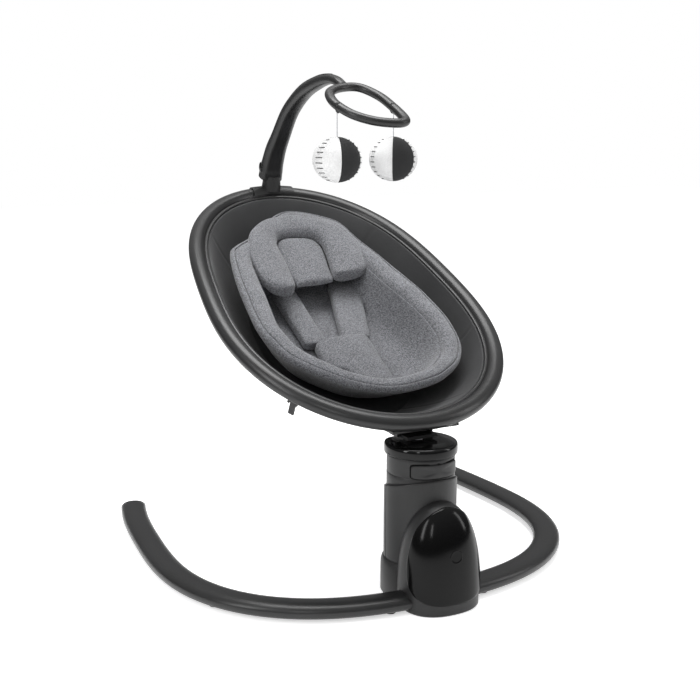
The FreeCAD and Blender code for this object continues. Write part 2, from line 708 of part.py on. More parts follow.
def insert():
    """A thick padded bowl inside the sling."""
    taper, rim = size("insert_taper"), size("insert_rim")
    outer = Part.makeLoft([
        egg(size("insert_half"), size("insert_foot"), size("insert_head"), rim),
        egg(size("insert_half") - taper, size("insert_foot") + 1.6 * taper,
            size("insert_head") - 2.1 * taper, size("insert_bottom"))], True, True)
    inner_taper = size("hollow_taper")
    hollow = Part.makeLoft([
        egg(size("hollow_half"), size("hollow_foot"), size("hollow_head"), rim + 0.01),
        egg(size("hollow_half") - inner_taper, size("hollow_foot") + 1.7 * inner_taper,
            size("hollow_head") - 2.2 * inner_taper, size("hollow_floor"))], True, True)
    return outer.cut(hollow)


raw("seat_insert", insert(), SEAT)


def rounded(corners, radius):
    """A closed polygon in the seat's plane with every corner rounded."""
    edges = []
    count = len(corners)
    starts, ends = [], []
    for i in range(count):
        before, here, after = corners[i - 1], corners[i], corners[(i + 1) % count]
        into, away = (before - here).normalize(), (after - here).normalize()
        half = into.getAngle(away) / 2
        back = radius / math.tan(half)
        a, b = here + into * back, here + away * back
        centre = here + (into + away).normalize() * (radius / math.sin(half))
        mid = centre + (here - centre).normalize() * radius
        edges.append(Part.Arc(a, mid, b).toShape())
        starts.append(a)
        ends.append(b)
    for i in range(count):
        edges.append(Part.LineSegment(ends[i], starts[(i + 1) % count]).toShape())
    return Part.Wire(Part.__sortEdges__(edges))


def slab(corners, radius, thickness):
    """A padded slab: a rounded outline raised by its thickness, its top edge eased."""
    flat = [Vector(x, u, 0) for x, u in corners]
    face = Part.Face(rounded(flat, radius))
    return face.extrude(Z_AXIS * thickness)


def mirrored(points):
    """Close an outline given from the middle line by its mirror image."""
    return points + [(-x, u) for x, u in reversed(points)]


def head_support():
    """A horseshoe cushion round the head."""
    half, low, high = size("head_half"), size("head_low_u"), size("head_high_u")
    arm = size("head_arm")
    outer = slab(mirrored([(half * 0.55, high), (half, high - 74), (half, low)]), 26,
                 size("head_thickness"))
    gap = size("soft_gap")
    inner_half = size("head_pad_half") + gap
    room = slab(mirrored([(inner_half, high - arm + gap), (inner_half, low - 60)]), 18,
                size("head_thickness"))
    return outer.cut(room)


def head_pad():
    half, low = size("head_pad_half"), size("head_pad_low_u")
    high = size("head_high_u") - size("head_arm")
    return slab(mirrored([(half, high), (half * 0.92, low)]), 16, size("head_pad_thickness"))


HEAD = SEAT.multiply(Placement(Vector(0, 0, size("head_level")),
                               Rotation(X_AXIS, size("head_slope"))))
raw("head_support", head_support(), HEAD)
raw("head_pad", head_pad(), HEAD)


def shoulder_pad(side):
    top, low = size("shoulder_top_u"), size("shoulder_bottom_u")
    half = size("shoulder_width") / 2
    tx, bx = size("shoulder_top_x"), size("shoulder_bottom_x")
    corners = [(side * (tx - half), top), (side * (tx + half), top),
               (side * (bx + half), low), (side * (bx - half), low)]
    return slab(corners, 8, size("pad_thickness"))


SHOULDER = SEAT.multiply(Placement(Vector(0, 0, size("shoulder_level")), NO_TURN))
for side, name in ((-1, "left"), (1, "right")):
    raw("shoulder_pad_" + name, shoulder_pad(side), SHOULDER)


def waist_pad():
    """A T-shaped pad over the buckle and between the legs."""
    half, top, tab = size("waist_half_width"), size("waist_top_u"), size("waist_tab_half")
    low = top - size("waist_depth")
    return slab(mirrored([(half, top), (half * 0.86, low), (tab + 7, low - 8),
                          (tab, low - size("waist_tab_depth"))]), 6, size("pad_thickness"))


raw("waist_pad", waist_pad(),
    SEAT.multiply(Placement(Vector(0, 0, size("waist_level")), NO_TURN)))

FLOOR = size("hollow_floor")
half_web = size("webbing_width") / 2
web = size("webbing_thickness")
strips = []
for side in (-1, 1):
    run = Part.makeBox(size("webbing_width"), 210, web, Vector(-half_web, -92, FLOOR + 0.4))
    lean = math.degrees(math.atan2(size("shoulder_top_x") - size("shoulder_bottom_x"), 184))
    run.rotate(Vector(), Z_AXIS, -side * lean)
    run.translate(Vector(side * (size("shoulder_bottom_x") + 10), 0, 0))
    strips.append(run)
strips.append(Part.makeBox(2 * half_web, 62, web, Vector(-half_web, -186, FLOOR + 0.4)))
raw("harness_webbing", Part.makeCompound(strips), SEAT)

buckle_u = size("waist_top_u") - 28
half_w, half_l = size("buckle_half_width"), size("buckle_half_length")
button_half = size("buckle_button_half")
buckle_level = FLOOR + 0.8 + web
case = Part.makeBox(2 * half_w, 2 * half_l, size("buckle_height"),
                    Vector(-half_w, buckle_u - half_l, buckle_level))
case = case.makeFillet(4, [e for e in case.Edges if upright(e)])
well = Part.makeCylinder(button_half + 0.4, size("buckle_height"),
                         Vector(0, buckle_u, buckle_level + size("buckle_height") / 2))
raw("buckle_housing", case.cut(well), SEAT)
button = Part.makeCylinder(button_half, size("buckle_height") / 2 - size("buckle_button_travel") - 0.5,
                           Vector(0, buckle_u, buckle_level + size("buckle_height") / 2
                                  + size("buckle_button_travel") + 0.3))
raw("buckle_button", button, SEAT)

# ---------------------------------------------------------------- toy arm

head_edge, _, _ = frame_at(ring_point, 0)
clamp_centre = SEAT.multVec(Vector(0, head_edge.y + size("ring_section_out"),
                                   size("ring_section_drop")))


def clamp():
    """A short sleeve over the ring's head end, open on its inner side where the sling hangs."""
    grow = size("clamp_wall") + clearance
    wide = size("clamp_half_width")
    thick = ring_pipe(Part.Wire([ring_ellipse(size("ring_half_width") + grow,
                                              size("ring_half_height") + grow).toShape()]))
    room = Part.makeBox(2 * wide, 200, 100, Vector(-wide, head_edge.y - 60, -50))
    edge = head_edge.y + size("ring_section_out") - size("ring_half_width")
    slot = Part.makeBox(200, 40, 42, Vector(-100, edge - 39.8, -39.7))
    return thick.common(room).cut(ring_room).cut(slot)


SOCKET = Placement(clamp_centre, Rotation(X_AXIS, size("socket_lean")))
socket_base = size("ring_half_height") * 0.6
full_socket = Part.makeCone(size("socket_radius") + 3, size("socket_radius"),
                            size("socket_height") - socket_base, Vector(0, 0, socket_base))
full_socket.Placement = SOCKET
clamp_body = clamp()
clamp_body.Placement = SEAT
plug_bore = Part.makeCylinder(size("plug_radius") + size("running_gap"), size("plug_length") + 20,
                              Vector(0, 0, size("socket_height") - size("plug_length")))
plug_bore.Placement = SOCKET
joined = clamp_body.fuse(full_socket.cut(ring_envelope.Shape))
raw("arm_clamp", joined.cut(plug_bore).removeSplitter())

socket_axis = SOCKET.Rotation.multVec(Z_AXIS)
arm_start = SOCKET.multVec(Vector(0, 0, size("socket_height") + 0.4))
loop_turn = Rotation(X_AXIS, size("loop_tilt"))
LOOP = Placement(Vector(0, size("loop_centre_y"), size("loop_centre_z")), loop_turn)
loop_back = LOOP.multVec(Vector(0, size("loop_half_length"), 0))
ARM_APEX = Vector(0, 345, 846)
arm_mid = Vector(0, 520, 778)
arm_points = [arm_start, arm_mid, ARM_APEX, loop_back + Vector(0, 4, 2)]
arm_ways = [socket_axis, Vector(0, -0.78, 0.62).normalize(), Vector(0, -1, -0.03).normalize(),
            Vector(0, -0.93, -0.36).normalize()]
arm_wire = biarc_wire(arm_points, arm_ways)


def arm_section():
    """Oval across the arm's foot, wide along X."""
    across = socket_axis.cross(X_AXIS)
    a, b = size("arm_width") / 2, size("arm_depth") / 2
    edge = Part.Ellipse(arm_start + X_AXIS * a, arm_start + across * b, arm_start).toShape()
    return Part.Wire([edge])


arm_solid = pipe(arm_wire, arm_section())
plug = Part.makeCylinder(size("plug_radius"), size("plug_length") + 1,
                         Vector(0, 0, size("socket_height") - size("plug_length") + 1.2))
plug.Placement = SOCKET
shoulder = Part.makeCone(size("socket_radius"), size("arm_width") / 2, 46,
                         Vector(0, 0, size("socket_height") + 0.4))
shoulder.Placement = SOCKET
arm_button_at = SOCKET.multVec(Vector(0, 0, size("socket_height") + 20))
arm_button_way = SOCKET.Rotation.multVec(Vector(-1, 0, 0))


def button_pin(radius, length, start):
    at = arm_button_at + arm_button_way * start
    return Part.makeCylinder(radius, length, at, arm_button_way)


def loop_ring(radius):
    """The oval toy loop as one bent bar."""
    a, b = size("loop_half_width"), size("loop_half_length")

    def loop_point(angle):
        t = math.radians(angle)
        return Vector(a * math.sin(t), b * math.cos(t), 0)

    half = pipe(curve_wire(loop_point, steps(0, 180, 6)),
                Part.Wire([Part.Circle(loop_point(0), X_AXIS, radius).toShape()]))
    return half.fuse(half.mirror(Vector(), X_AXIS)).removeSplitter()


loop_solid = loop_ring(size("loop_bar_radius"))
loop_solid.Placement = LOOP
raw("toy_loop", loop_solid)
loop_room = loop_ring(size("loop_bar_radius") + 0.1)
loop_room.Placement = LOOP
arm_all = arm_solid.fuse(plug).fuse(shoulder)
pocket = button_pin(size("arm_button_radius") + 0.3, 40, 5)
raw("toy_arm", arm_all.cut(pocket).cut(loop_room).removeSplitter())
button_depth = size("arm_button_travel") + 0.3
raw("arm_button", button_pin(size("arm_button_radius"), 9, 5 + button_depth))

# ---------------------------------------------------------------- hanging toys

HANG_Y = size("loop_centre_y") - 6
ball_top = size("ball_centre_z") + size("ball_half_height")
hang_z = size("loop_centre_z") + (HANG_Y - size("loop_centre_y")) * math.tan(math.radians(size("loop_tilt")))
bar_under = hang_z - size("string_drop")
for side, name in ((-1, "left"), (1, "right")):
    x = side * size("loop_half_width")
    raw("toy_string_" + name, Part.makeCylinder(size("string_radius"), bar_under - ball_top,
                                                Vector(x, HANG_Y, ball_top)))
    ball = doc.addObject("Part::Ellipsoid", "ball")
    for prop, expression in (("Radius1", "@ball_half_height"), ("Radius2", "@ball_half_width"),
                             ("Radius3", "@ball_half_width")):
        bind(ball, prop, expression)
    ball.Angle1, ball.Angle2 = -90, 90
    place(ball, ("%d * @loop_half_width" % side, "@loop_centre_y - 6", "@ball_centre_z"))
    node("toy_ball_" + name, ball)

# ---------------------------------------------------------------- recline lever

LEVER_ANGLE = -143
lever_at, lever_out, lever_ahead = frame_at(ring_point, LEVER_ANGLE)
lever_spot = SEAT.multVec(lever_at + lever_out * size("ring_section_out")
                          + Z_AXIS * (size("ring_section_drop") - size("ring_half_height") - 3.2))
lug_way = SEAT.Rotation.multVec(lever_ahead)
lug_side = SEAT.Rotation.multVec(lever_out)
lug_up = SEAT.Rotation.multVec(Z_AXIS)
lug = Part.makeBox(size("lever_width") + 8, 10, 6,
                   Vector(-size("lever_width") / 2 - 4, -5, -2.6))
lug_gap = Part.makeBox(size("lever_width") + 0.8, 12, 8,
                       Vector(-size("lever_width") / 2 - 0.4, -6, -3))
level = Placement(lever_spot, Rotation(lug_way, lug_side, lug_up, "XYZ"))
lug = lug.cut(lug_gap)
lug.Placement = level
pin = Part.makeCylinder(size("lever_pin_radius") - 0.6, size("lever_width") + 8,
                        Vector(-size("lever_width") / 2 - 4, 0, -0.6), X_AXIS)
blade = Part.makeBox(size("lever_width"), size("lever_thickness"), size("lever_length"),
                     Vector(-size("lever_width") / 2, -size("lever_thickness") / 2,
                            -size("lever_length") + 1))
pin_clear = Part.makeCylinder(size("lever_pin_radius") - 0.55, 60, Vector(-30, 0, -0.6), X_AXIS)
pin.Placement = level
blade_part = blade.cut(pin_clear)
blade_part.Placement = level
raw("lever_bracket", lug.cut(ring_envelope.Shape).cut(pin))
raw("lever_pin", pin)
raw("recline_lever", blade_part)

# ---------------------------------------------------------------- write

doc.recompute()
for item in doc.Objects:
    states = [state for state in item.State if state in ("Invalid", "Error")]
    if states:
        raise RuntimeError("%s (%s) is %s" % (item.Label, item.TypeId, states))
os.makedirs("parts", exist_ok=True)
for item in NODES:
    shape = item.Shape
    if shape.isNull() or not shape.isValid() or shape.Volume <= 0 or not shape.Solids:
        raise RuntimeError("%s has no valid solid" % item.Label)
    shape.exportStep("parts/%s.step" % item.Label)
    print("%-22s %9.1f mm3  %d solid(s)" % (item.Label, shape.Volume, len(shape.Solids)))
print(len(NODES), "nodes")
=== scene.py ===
# %% [markdown]
# # A baby swing, dressed for its portrait
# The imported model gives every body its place.  This lesson replaces the plain solids with
# finer surfaces, one piece at a time: the satin black tube, the drive tower with its glossy
# shield, the oval seat ring, the stretched fabric, the stuffed cushions and the hanging toys.
# Loading comes first, because every later piece rides on one of the loaded bodies.

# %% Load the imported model
import math

import bmesh
import bpy
import numpy as np
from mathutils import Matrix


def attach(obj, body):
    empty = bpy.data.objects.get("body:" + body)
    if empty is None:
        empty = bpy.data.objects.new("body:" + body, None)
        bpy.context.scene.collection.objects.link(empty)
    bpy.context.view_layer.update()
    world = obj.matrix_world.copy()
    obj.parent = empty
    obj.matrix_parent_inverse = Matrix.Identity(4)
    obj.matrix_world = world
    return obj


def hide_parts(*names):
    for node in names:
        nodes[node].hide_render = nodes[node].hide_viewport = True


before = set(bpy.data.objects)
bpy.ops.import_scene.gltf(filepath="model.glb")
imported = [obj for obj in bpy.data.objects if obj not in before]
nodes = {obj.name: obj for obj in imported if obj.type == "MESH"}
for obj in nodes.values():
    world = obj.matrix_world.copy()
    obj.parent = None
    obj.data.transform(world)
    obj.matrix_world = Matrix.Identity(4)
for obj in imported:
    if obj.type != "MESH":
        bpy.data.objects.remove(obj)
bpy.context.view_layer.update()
MM = 0.001

# %% [markdown]
# ## The camera
# A product portrait like this is taken from a little above the seat, well to one side, with
# a medium lens.  The camera could be aimed with a constraint, but a turn and a place written
# as numbers stay the same however the model changes.

# %% Place the camera
camera_data = bpy.data.cameras.new("portrait_camera")
camera_data.lens = 55.74
camera_data.sensor_width = 36
camera = bpy.data.objects.new("portrait_camera", camera_data)
camera.location = (-0.8720, -1.4702, 0.7608)
camera.rotation_euler = (math.radians(90 - 11.71), 0, math.radians(-26.87))
bpy.context.scene.collection.objects.link(camera)
bpy.context.scene.camera = camera
bpy.context.scene.view_settings.view_transform = "Standard"

# %% [markdown]
# ## Shader maths as Python
# A node tree drawn by hand grows long.  Here one small class holds a value on its way through
# the tree and overloads the arithmetic signs, so that a pattern reads like a formula.  Every
# other node comes from one method, which sets the node's own options first and its sockets
# after.

# %% A value and a recipe
class Value:
    """A number, colour or vector travelling through a material's nodes."""

    def __init__(self, recipe, link):
        self.recipe, self.link = recipe, link

    def math(self, operation, first, second):
        return self.recipe.add("ShaderNodeMath", {"operation": operation}, {0: first, 1: second})

    def __add__(self, other):
        return self.math("ADD", self, other)

    def __radd__(self, other):
        return self.math("ADD", other, self)

    def __sub__(self, other):
        return self.math("SUBTRACT", self, other)

    def __rsub__(self, other):
        return self.math("SUBTRACT", other, self)

    def __mul__(self, other):
        return self.math("MULTIPLY", self, other)

    def __rmul__(self, other):
        return self.math("MULTIPLY", other, self)


class Recipe:
    """A material being written: its nodes, and the shader that they end in."""

    def __init__(self, name):
        self.material = bpy.data.materials.new(name)
        self.material.use_nodes = True
        self.tree = self.material.node_tree
        self.shader = self.tree.nodes["Principled BSDF"]

    def put(self, node, sockets):
        for key, value in sockets.items():
            if isinstance(value, Value):
                self.tree.links.new(value.link, node.inputs[key])
            else:
                node.inputs[key].default_value = value

    def add(self, kind, settings=None, sockets=None, output=0):
        node = self.tree.nodes.new(kind)
        for key, value in (settings or {}).items():
            if key == "stops":
                for stop, (position, colour) in zip(node.color_ramp.elements, value):
                    stop.position, stop.color = position, colour
            else:
                setattr(node, key, value)
        self.put(node, sockets or {})
        return Value(self, node.outputs[output])

    def place(self, size=(1, 1, 1), turn=(0, 0, 0)):
        """The surface point in the object's own metres, turned and stretched."""
        point = self.add("ShaderNodeTexCoord", output="Object")
        return self.add("ShaderNodeMapping", {}, {"Vector": point, "Rotation": turn, "Scale": size})

    def noise(self, point, scale, detail=2.0, rough=0.5):
        return self.add("ShaderNodeTexNoise", {}, {"Vector": point, "Scale": scale,
                                                   "Detail": detail, "Roughness": rough})

    def blend(self, factor, first, second):
        """Mix two colours."""
        return self.add("ShaderNodeMix", {"data_type": "RGBA"},
                        {"Factor": factor, 6: first, 7: second}, output=2)

    def ease(self, value, low, high):
        """Rise smoothly from 0 at low to 1 at high."""
        return self.add("ShaderNodeMapRange", {"interpolation_type": "SMOOTHSTEP"},
                        {"Value": value, "From Min": low, "From Max": high})

    def bump(self, height, strength, distance):
        return self.add("ShaderNodeBump", {}, {"Height": height, "Strength": strength,
                                               "Distance": distance})

    def finish(self, **sockets):
        self.put(self.shader, {key.replace("_", " "): value for key, value in sockets.items()})
        return self.material


def grey(level, tint=0.0):
    """An opaque grey, a little bluer as tint grows."""
    return (level * (1 - tint), level * (1 - tint * 0.6), level * (1 + tint), 1.0)


# %% [markdown]
# ## Moulded and coated black
# Everything hard on this object is black, and only the surface tells the parts apart: the
# tube has a satin coat, the tower a fine moulded grain, the shield and cap a polish.  A plain
# black would look like a hole, so each has its own roughness, clouded slightly by noise, and
# a bump that is too fine to see but breaks up the highlight.

# %% Black finishes
def black_finish(name, level, roughness, grain, grain_size, cloud=0.06, coat=0.0, mirror=0.4):
    """Moulded black: fine grain for the bump, slow clouds for colour and roughness."""
    r = Recipe(name)
    point = r.place()
    clouds = r.noise(point, 14.0, 3.0)
    fine = r.noise(point, grain_size, 2.0, 0.6)
    colour = r.blend(r.ease(clouds, 0.35, 0.65), grey(level * 0.88), grey(level * 1.12, 0.02))
    rough = roughness + (clouds - 0.5) * cloud + (fine - 0.5) * 0.04
    return r.finish(Base_Color=colour, Roughness=rough, Coat_Weight=coat, Coat_Roughness=0.08,
                    Specular_IOR_Level=mirror, Normal=r.bump(fine, grain, 0.0004))


tube_coat = black_finish("satin_tube_coat", 0.010, 0.34, 0.10, 1400.0)
ring_coat = black_finish("satin_ring_plastic", 0.010, 0.33, 0.12, 1200.0)
tower_plastic = black_finish("grained_tower_plastic", 0.011, 0.42, 0.16, 1100.0, mirror=0.34)
arm_plastic = black_finish("smooth_arm_plastic", 0.009, 0.36, 0.0, 1300.0)
inlay_plastic = black_finish("dark_arm_inlay", 0.003, 0.22, 0.0, 1300.0, mirror=0.25)
shield_gloss = black_finish("polished_shield", 0.0015, 0.15, 0.0, 300.0, 0.01, 0.0, 0.15)
cap_gloss = black_finish("polished_cap", 0.002, 0.09, 0.02, 500.0, 0.02, 0.0, 0.22)
# Painted shade: a near-black, dull plastic for the plate that stands in for the shadowed gap round
# the release tab.
painted_gap_shade_plastic = black_finish("painted_gap_shade_plastic", 0.002, 0.8, 0.1, 900.0, mirror=0.1)
foot_rubber = black_finish("grip_rubber", 0.012, 0.75, 0.4, 900.0)


# %% [markdown]
# ## Heathered grey jersey
# The cushions are covered in a soft melange knit: dark and light fibres spun together, so
# the cloth shows short flecks that run with the ribs.  Two stretched noises make the flecks,
# a finer one the fuzz, and a pair of waves the ribs of the knit.

# %% Cushion cloth
SEAT_TILT = math.radians(27.4)


def heather(name, dark, light, stretch=(1.0, 0.20, 1.0), ribs=2100.0):
    """Melange knit: flecks from stretched noise, ribs from crossed waves."""
    r = Recipe(name)
    flat = r.place(stretch, (-SEAT_TILT, 0, 0))
    even = r.place((1, 1, 1), (-SEAT_TILT, 0, 0))
    flecks = r.noise(flat, 780.0, 3.0, 0.75)
    patches = r.noise(even, 330.0, 2.0, 0.6)
    fuzz = r.noise(even, 2400.0, 1.0)
    rib = r.add("ShaderNodeTexWave", {"wave_type": "BANDS", "bands_direction": "X"},
                {"Vector": even, "Scale": ribs / 20, "Distortion": 1.5, "Detail": 1.0}, 1)
    mark = r.ease(flecks * 0.72 + patches * 0.18 + fuzz * 0.10, 0.44, 0.57)
    colour = r.blend(mark, grey(dark, 0.04), grey(light, 0.05))
    height = flecks * 0.5 + rib * 0.3 + fuzz * 0.2
    return r.finish(Base_Color=colour, Roughness=0.88 + fuzz * 0.08, Sheen_Weight=0.25,
                    Sheen_Roughness=0.5, Normal=r.bump(height, 0.45, 0.0009))


jersey = heather("heather_jersey", 0.066, 0.228)


# %% Black cloths
def weave(name, level, thread, rough=0.8, sheen=0.15, tint=0.03):
    """Plain weave: two crossed waves for the threads, slow noise for the shading."""
    r = Recipe(name)
    point = r.place((1, 1, 1), (-SEAT_TILT, 0, 0))
    warp, weft = (r.add("ShaderNodeTexWave", {"bands_direction": way},
                        {"Vector": point, "Scale": thread}, 1) for way in "XY")
    slow = r.noise(point, 9.0, 3.0)
    fine = r.noise(point, 1500.0, 2.0)
    colour = r.blend(r.ease(slow * 0.6 + fine * 0.4, 0.4, 0.6), grey(level * 0.82, tint),
                     grey(level * 1.18, tint))
    return r.finish(Base_Color=colour, Roughness=rough + (fine - 0.5) * 0.1, Sheen_Weight=sheen,
                    Sheen_Roughness=0.4, Normal=r.bump(warp * weft + fine * 0.4, 0.25, 0.0004))


sling_cloth = weave("stretched_black_cloth", 0.021, 120.0, 0.7)
strap_cloth = weave("harness_webbing_cloth", 0.020, 70.0)
felt_black = weave("black_felt", 0.010, 90.0, 0.9, 0.04)
felt_white = weave("white_felt", 0.62, 90.0, 0.9, 0.1, tint=0.0)
thread_black = weave("black_thread", 0.02, 300.0)
string_grey = weave("toy_cord_twist", 0.45, 300.0)


# %% [markdown]
# ## Metal and small fittings
# Only glimpses of these show, in the gap under the ring or inside the tower.  They still get
# a brushed or lacquered finish, because another view or pose may open them up.

# %% Fittings
def brushed(name, colour, metallic=1.0, rough=0.32):
    """Brushed metal: noise stretched along one way clouds the colour and the gloss."""
    r = Recipe(name)
    lines = r.noise(r.place((60, 60, 1.5)), 24.0, 3.0)
    tone = r.blend(lines, tuple(c * 0.82 for c in colour) + (1,), tuple(colour) + (1,))
    return r.finish(Base_Color=tone, Metallic=metallic, Roughness=rough + (lines - 0.5) * 0.15)


steel = brushed("brushed_steel_parts", (0.56, 0.56, 0.58))
copper = brushed("lacquered_winding", (0.55, 0.26, 0.11), 1.0, 0.25)
board_green = brushed("board_lacquer", (0.02, 0.12, 0.05), 0.0, 0.4)
lens_clear = brushed("indicator_lens_tint", (0.30, 0.31, 0.29), 0.0, 0.2)


def dress(material, *names):
    """Give carried-over nodes a finish."""
    for name in names:
        slots = nodes[name].data.materials
        slots.clear()
        slots.append(material)


dress(tower_plastic, "foot_plate", "arm_clamp", "seat_mount", "seat_saddle", "lever_bracket",
      "recline_lever", "dc_inlet", "swing_lever", "upper_bearing_web", "lower_bearing_web",
      "buckle_housing", "foot_housing", "column_front_shell", "column_rear_shell",
      "upper_collar", "release_tab")
dress(shield_gloss, "control_panel", "power_button")
dress(cap_gloss, "top_cap", "buckle_button")
dress(steel, "sway_post", "upper_bearing", "lower_bearing", "recline_pin", "drive_magnet",
      "lever_pin")
dress(copper, "drive_coil")
dress(board_green, "control_board")
dress(lens_clear, "indicator_lens")
dress(foot_rubber, "base_feet")
dress(arm_plastic, "toy_arm", "toy_loop", "arm_button")
dress(tube_coat, "base_tube_left", "base_tube_right", "end_cap_left", "end_cap_right")
dress(ring_coat, "ring_upper_shell", "ring_lower_shell", "ring_lip")

# %% [markdown]
# ## Surfaces from arrays
# A new piece is a grid of points, worked out all at once.  Rows run one way over the surface
# and columns the other; either may close on itself.  Points that meet at a pole are merged
# and the faces are turned outwards before the piece is shown.

# %% Grid helpers
def smooth(points, count, closed=False):
    """Catmull-Rom curve: each span is the cubic through two points whose slope at each end
    is half the step between the neighbours."""
    p = np.asarray(points, float)
    spans = len(p) if closed else len(p) - 1
    t = np.linspace(0, spans, count, endpoint=not closed)
    i = np.minimum(t.astype(int), spans - 1)
    f = (t - i)[:, None]
    if closed:
        a, b, c, d = (p[(i + k) % len(p)] for k in (-1, 0, 1, 2))
    else:
        q = np.vstack([2 * p[0] - p[1], p, 2 * p[-1] - p[-2]])
        a, b, c, d = (q[i + k] for k in (0, 1, 2, 3))
    return b + 0.5 * ((c - a) * f + (2 * a - 5 * b + 4 * c - d) * f ** 2
                      + (3 * b - a - 3 * c + d) * f ** 3)


def xyz(x, y, z):
    """Three arrays of coordinates as one array of points."""
    return np.stack(np.broadcast_arrays(x, y, z), -1)


def oval(half_a, half_b, count=48, power=2.0):
    """Superellipse: a = half_a |cos t|^(2/power) with its sign, b the same with sin."""
    t = np.linspace(0, 2 * math.pi, count, endpoint=False)
    c, s = np.cos(t), np.sin(t)
    return np.stack([half_a * np.sign(c) * np.abs(c) ** (2 / power),
                     half_b * np.sign(s) * np.abs(s) ** (2 / power)], -1)


def carried(path, across, up, profile):
    """Point (a, b) of the profile stands at path + a across + b up."""
    return path[:, None] + profile[..., :1] * across[:, None] + profile[..., 1:] * up[:, None]


def grid_faces(rows, columns, close_rows, close_columns):
    """Quads between neighbouring rows and columns, wrapping where the grid is closed."""
    i, j = np.meshgrid(np.arange(rows if close_rows else rows - 1),
                       np.arange(columns if close_columns else columns - 1), indexing="ij")
    i2, j2 = (i + 1) % rows, (j + 1) % columns
    return np.stack([i * columns + j, i2 * columns + j, i2 * columns + j2, i * columns + j2],
                    -1).reshape(-1, 4)


def piece(name, grid, body, material, stands_for=(), close_rows=False, close_columns=True):
    """A mesh from one grid of points in millimetres, or from several, riding on a body."""
    grids = grid if isinstance(grid, list) else [grid]
    points, faces, start = [], [], 0
    for g in grids:
        points.append(g.reshape(-1, 3) * MM)
        faces.append(grid_faces(g.shape[0], g.shape[1], close_rows, close_columns) + start)
        start += g.shape[0] * g.shape[1]
    mesh = bpy.data.meshes.new(name)
    mesh.from_pydata(np.vstack(points).tolist(), [], np.vstack(faces).tolist())
    work = bmesh.new()
    work.from_mesh(mesh)
    bmesh.ops.remove_doubles(work, verts=work.verts, dist=2e-6)
    bmesh.ops.dissolve_degenerate(work, edges=work.edges, dist=1e-7)
    bmesh.ops.recalc_face_normals(work, faces=work.faces)
    work.to_mesh(mesh)
    work.free()
    mesh.shade_smooth()
    obj = bpy.data.objects.new(name, mesh)
    bpy.context.scene.collection.objects.link(obj)
    mesh.materials.append(material)
    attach(obj, body)
    if stands_for:
        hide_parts(*stands_for)
    print(name, len(mesh.polygons), "faces")
    return obj


def capped(grid):
    """Close a tube's two ends by rows that shrink to the middle of each end."""
    first, last = grid[0], grid[-1]
    ends = [np.repeat(e.mean(0, keepdims=True), len(e), 0) for e in (first, last)]
    return np.concatenate([ends[0][None], (first * 0.5 + ends[0] * 0.5)[None], grid,
                           (last * 0.5 + ends[1] * 0.5)[None], ends[1][None]])


def rings_to_solid(plan, centre, insets, heights):
    """A turned-looking solid on any plan: row i is the plan pulled in by inset i, towards
    the centre, at height i.  The two end rows shrink to points."""
    away = plan - centre
    reach = np.linalg.norm(away, axis=1, keepdims=True)
    rows = [centre + away * (1 - inset / reach) for inset in insets]
    levels = [np.broadcast_to(h, len(plan)) for h in heights]
    grid = np.stack([np.column_stack([row, z]) for row, z in zip(rows, levels)])
    return capped(grid)


# %% [markdown]
# ## The floor tube
# One bent tube runs round the floor from end to end, thickest in width and slightly flat.
# Its line is a circle with a few waves added, open at the back.  The section is carried
# along it; the ends are closed by plugs with a soft dome.

# %% Floor tube
BASE_CENTRE_Y, BASE_RADIUS, TUBE_LEVEL = 262.0, 410, 16.5


def base_line(angle):
    """r = 410 (1 - .231 cos a + .115 cos 2a - .079 cos 3a), a from the tower's side."""
    waves = -0.231 * np.cos(angle) + 0.115 * np.cos(2 * angle) - 0.079 * np.cos(3 * angle)
    r = BASE_RADIUS * (1 + waves)
    return np.stack([r * np.sin(angle), BASE_CENTRE_Y - r * np.cos(angle),
                     np.full_like(angle, TUBE_LEVEL)], -1)


def planar_frames(path, normal):
    """Unit side and up vectors of a path that lies in one plane."""
    along = np.gradient(path, axis=0)
    along /= np.linalg.norm(along, axis=1, keepdims=True)
    side = np.cross(along, normal)
    return along, side, np.broadcast_to(normal, path.shape)


UP = np.array([0.0, 0.0, 1.0])
tube_profile = oval(24.0, 13.5, 56, 2.25)
for sign, side_name in ((-1, "left"), (1, "right")):
    line = base_line(sign * np.radians(np.linspace(0.3, 131, 190)))
    along, across, up = planar_frames(line, UP)
    piece("floor_tube_" + side_name, capped(carried(line, across, up, tube_profile)), "base",
          tube_coat, ["base_tube_" + side_name])
    reach = np.array([0.5, 1.2, 4.0, 6.5, 8.0, 8.8])
    scale = np.array([0.985, 1.0, 1.0, 0.96, 0.88, 0.74])
    plug_line = line[-1] + along[-1] * reach[:, None]
    plug = carried(plug_line, np.repeat(across[-1:], 6, 0), np.repeat(up[-1:], 6, 0),
                   tube_profile[None] * scale[:, None, None])
    piece("tube_plug_" + side_name, capped(plug), "base", tower_plastic,
          ["end_cap_" + side_name])

# %% [markdown]
# ## The tower
# The column is a D in plan: a round front and a flat back.  The two curves are blended with
# a high power mean, which rounds the corners between them.  Shallow grooves show where its
# shells meet, and its upper edge slopes down towards the back.  A dark plate behind the
# release tab is painted shade: it stands in for the shadow in the gap round the tab.

# %% Column, collar and cap
TOWER = np.array([0.0, -5.0])


def d_plan(radius, back, count=240, sharp=14.0, groove=0.0, groove_at=10.0):
    """1/r^s = 1/circle^s + 1/flat^s, with a thin dent at the shells' meeting line."""
    a = np.linspace(0, 2 * math.pi, count, endpoint=False)
    flat = np.where(np.sin(a) > 0.02, (back + 5) / np.maximum(np.sin(a), 0.02), 1e4)
    r = (radius ** -sharp + flat ** -sharp) ** (-1 / sharp)
    seam = math.asin(groove_at / radius)
    for at in (seam, math.pi - seam):
        gap = (a - at + math.pi) % (2 * math.pi) - math.pi
        r = r - groove * np.exp(-(gap * radius / 1.0) ** 2)
    return np.column_stack([r * np.cos(a), r * np.sin(a)]) + TOWER


